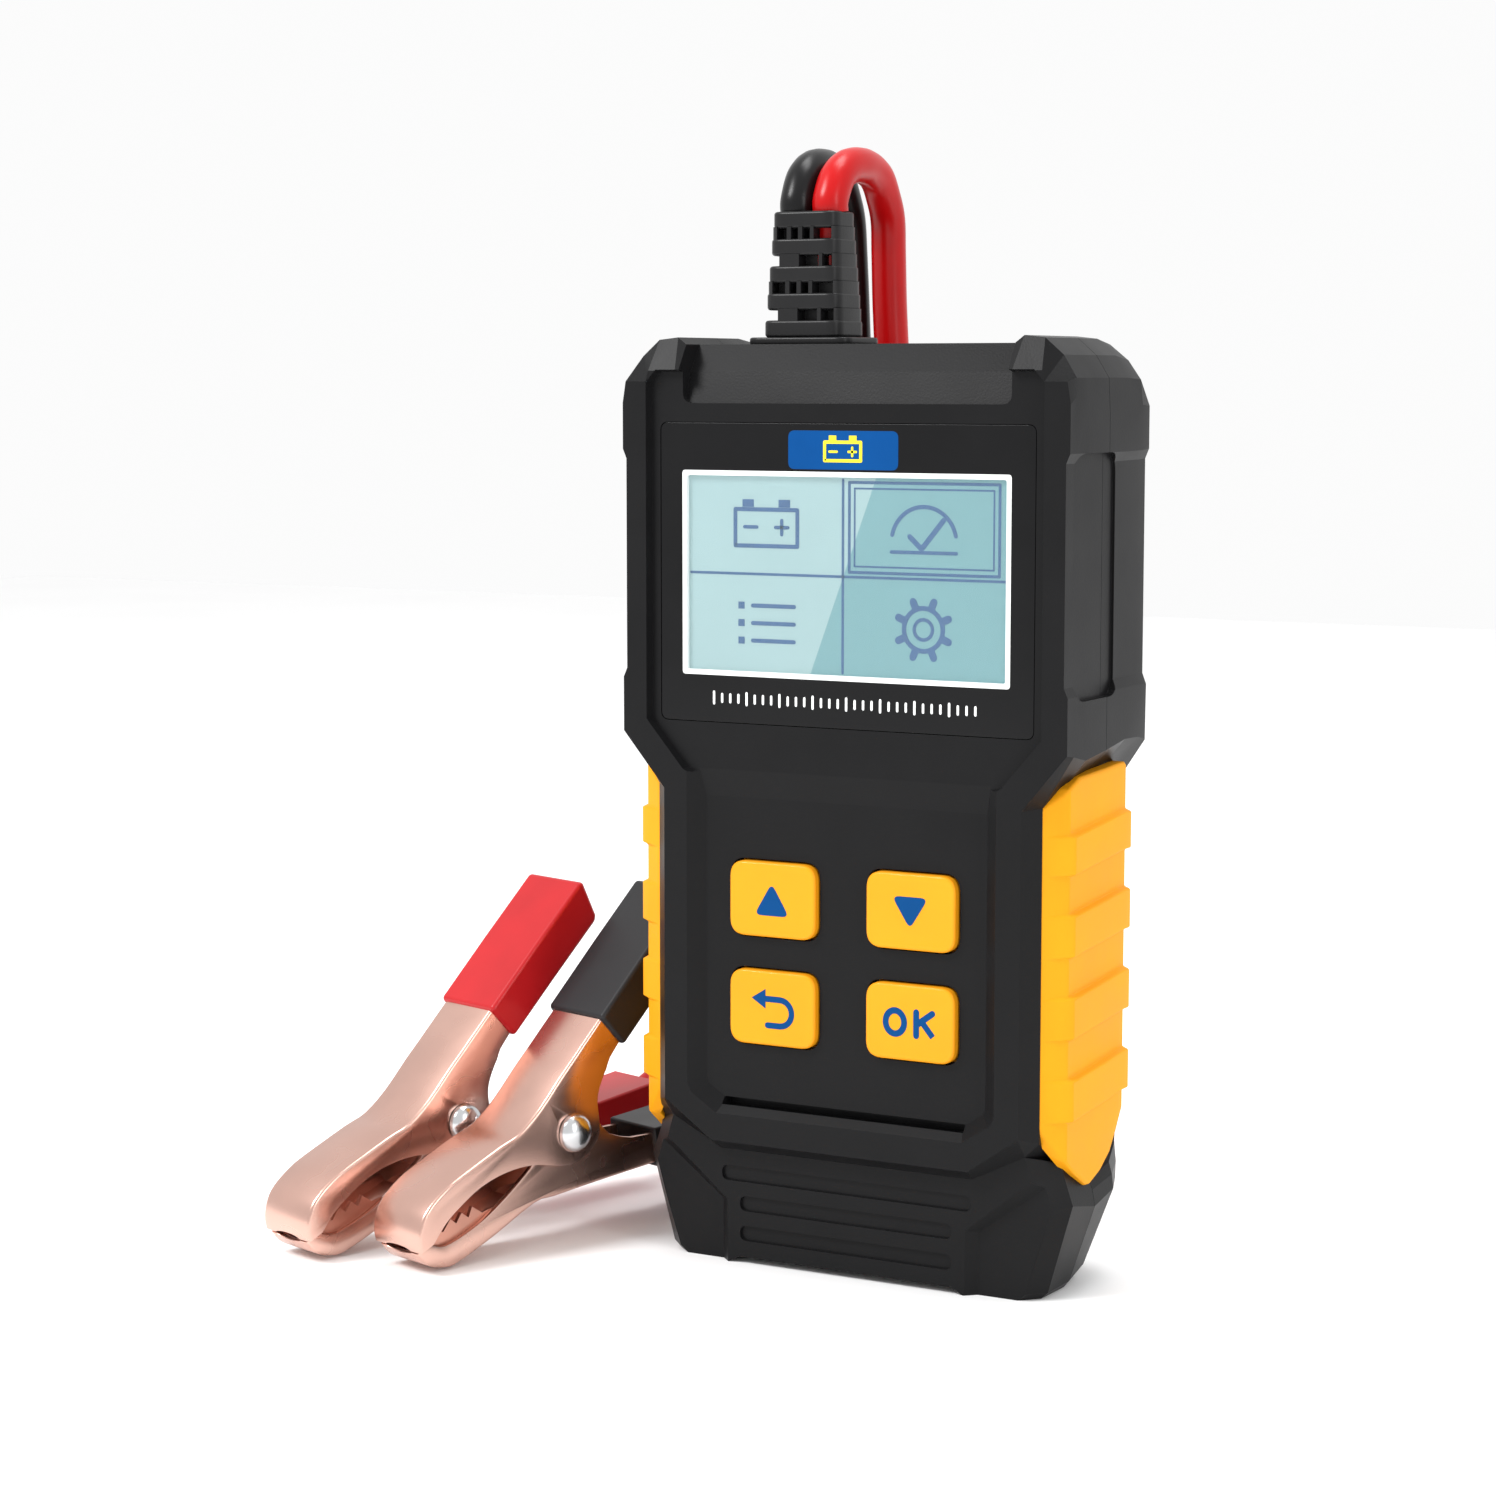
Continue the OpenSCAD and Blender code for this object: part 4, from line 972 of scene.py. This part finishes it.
def make_clamp(colour):
    """One clamp, and the list of its pieces. Its upper half turns on the rivet."""
    for name, back, belly, half, inwards, hole in (
            ("upper", UPPER_BACK, UPPER_BELLY, CHEEK, -1, 2.05),
            ("lower", LOWER_BACK, LOWER_BELLY, INNER_CHEEK, 1, 2.0)):
        on_clamp(colour, f"{name}_channel", channel(back, belly, half, inwards, hole), "copper",
                 f"{name}_jaw", "copper_plate", bevel=0.12, crisp=False)
    make_sleeve(colour, "upper", UPPER_SLEEVE, CHEEK + 0.9)
    make_sleeve(colour, "lower", LOWER_SLEEVE, INNER_CHEEK + 0.9)
    make_rivet(colour)
    make_spring(colour)
    names = ["upper_channel", "lower_channel", "upper_sleeve", "lower_sleeve", "rivet_pin",
             "spring_coil", "spring_leg", "upper_teeth", "lower_teeth"]
    return [bpy.data.objects[f"{colour}_{n}"] for n in names]


# ---------------------------------------------------------------- inner parts

def dress(node, finish, bevel):
    """A finish and softened edges for a part whose CAD shape stays."""
    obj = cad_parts[node]
    obj.data.materials.clear()
    obj.data.materials.append(LOOKS[finish])
    weld = obj.modifiers.new("weld", "WELD")
    weld.merge_threshold = 0.00001
    if bevel:
        edge = obj.modifiers.new("edges", "BEVEL")
        edge.width, edge.segments = bevel * MM, 2
        edge.limit_method, edge.angle_limit = "ANGLE", math.radians(40)


INNER = {
    "lcd_frame": ("tray", 0.2), "backlight_panel": ("diffuser", 0.15), "lcd_ribbon": ("ribbon", 0),
    "main_board": ("board", 0.1), "key_mat": ("mat", 0.15), "key_switches": ("chip", 0.1),
    "microcontroller": ("chip", 0.12), "signal_chips": ("chip", 0.12),
    "load_resistors": ("ceramic", 0.3), "load_transistors": ("chip", 0.25),
    "heat_sink": ("aluminium", 0.2), "capacitors": ("blue_sleeve", 0.4), "buzzer": ("chip", 0.4),
    "board_screws": ("steel", 0.15), "shell_screws": ("steel", 0.12),
    "lead_terminals": ("brass", 0.3), "inner_wires": ("wire", 0.1), "cord_anchor": ("tray", 0.3),
    "red_upper_teeth": ("dark_copper", 0.08), "red_lower_teeth": ("dark_copper", 0.08),
    "black_upper_teeth": ("dark_copper", 0.08), "black_lower_teeth": ("dark_copper", 0.08),
}


# ---------------------------------------------------------------- studio

# Area lights, in metres and watts: where each is, its width and height, and its power
LIGHTS = {
    "key_light": ((-0.5, -0.6, 0.85), (0.35, 0.35), 9),
    "fill_light": ((0.85, -0.35, 0.45), (0.2, 0.6), 2),
    "top_light": ((0.05, 0.15, 0.95), (0.5, 0.3), 4),
}
LIGHT_AIM = (0, 0, 0.08)
SKY_STRENGTH = 0.97
FLOOR_HALF = 1500


def panel_light(name, place, size, power):
    data = bpy.data.lights.new(name, "AREA")
    data.shape, data.size, data.size_y, data.energy = "RECTANGLE", size[0], size[1], power
    obj = bpy.data.objects.new(name, data)
    obj.location = place
    obj.rotation_euler = (Vector(LIGHT_AIM) - Vector(place)).to_track_quat("-Z", "Y").to_euler()
    bpy.context.scene.collection.objects.link(obj)


def make_studio():
    corners = box_outline(-FLOOR_HALF, -FLOOR_HALF, FLOOR_HALF, FLOOR_HALF)
    floor = skin(*[[(x, y, z) for x, y in corners] for z in (-4, 0)])
    placed(floor, Matrix.Scale(MM, 4))
    obj = from_bmesh("floor", floor)
    obj.data.materials.append(look("pale_floor", (250, 250, 250), 0.6, vary=0.01, patch=8))
    # the tints are tuned to this transform; the default one washes them out
    bpy.context.scene.view_settings.view_transform = "Standard"
    world = bpy.data.worlds.new("studio")
    world.use_nodes = True
    sky = world.node_tree.nodes["Background"]
    sky.inputs["Color"].default_value = (1, 1, 1, 1)
    sky.inputs["Strength"].default_value = SKY_STRENGTH
    bpy.context.scene.world = world
    for name, (place, size, power) in LIGHTS.items():
        panel_light(name, place, size, power)


# ---------------------------------------------------------------- the part

make_camera()
LOOKS = make_looks()
clamp_pieces = {colour: make_clamp(colour) for colour in ("red", "black")}
make_lead("red", RED_ROUTE, RED_TAIL, 0, 190 + 360)
make_lead("black", BLACK_ROUTE, BLACK_TAIL, 90, 200 + 360)
make_front_shell()
make_rear_shell()
make_grip(1, "right_grip")
make_grip(-1, "left_grip")
make_lens()
make_display()
make_badge()
make_keys()
make_relief()
for node, (finish, width) in INNER.items():
    dress(node, finish, width)
make_studio()
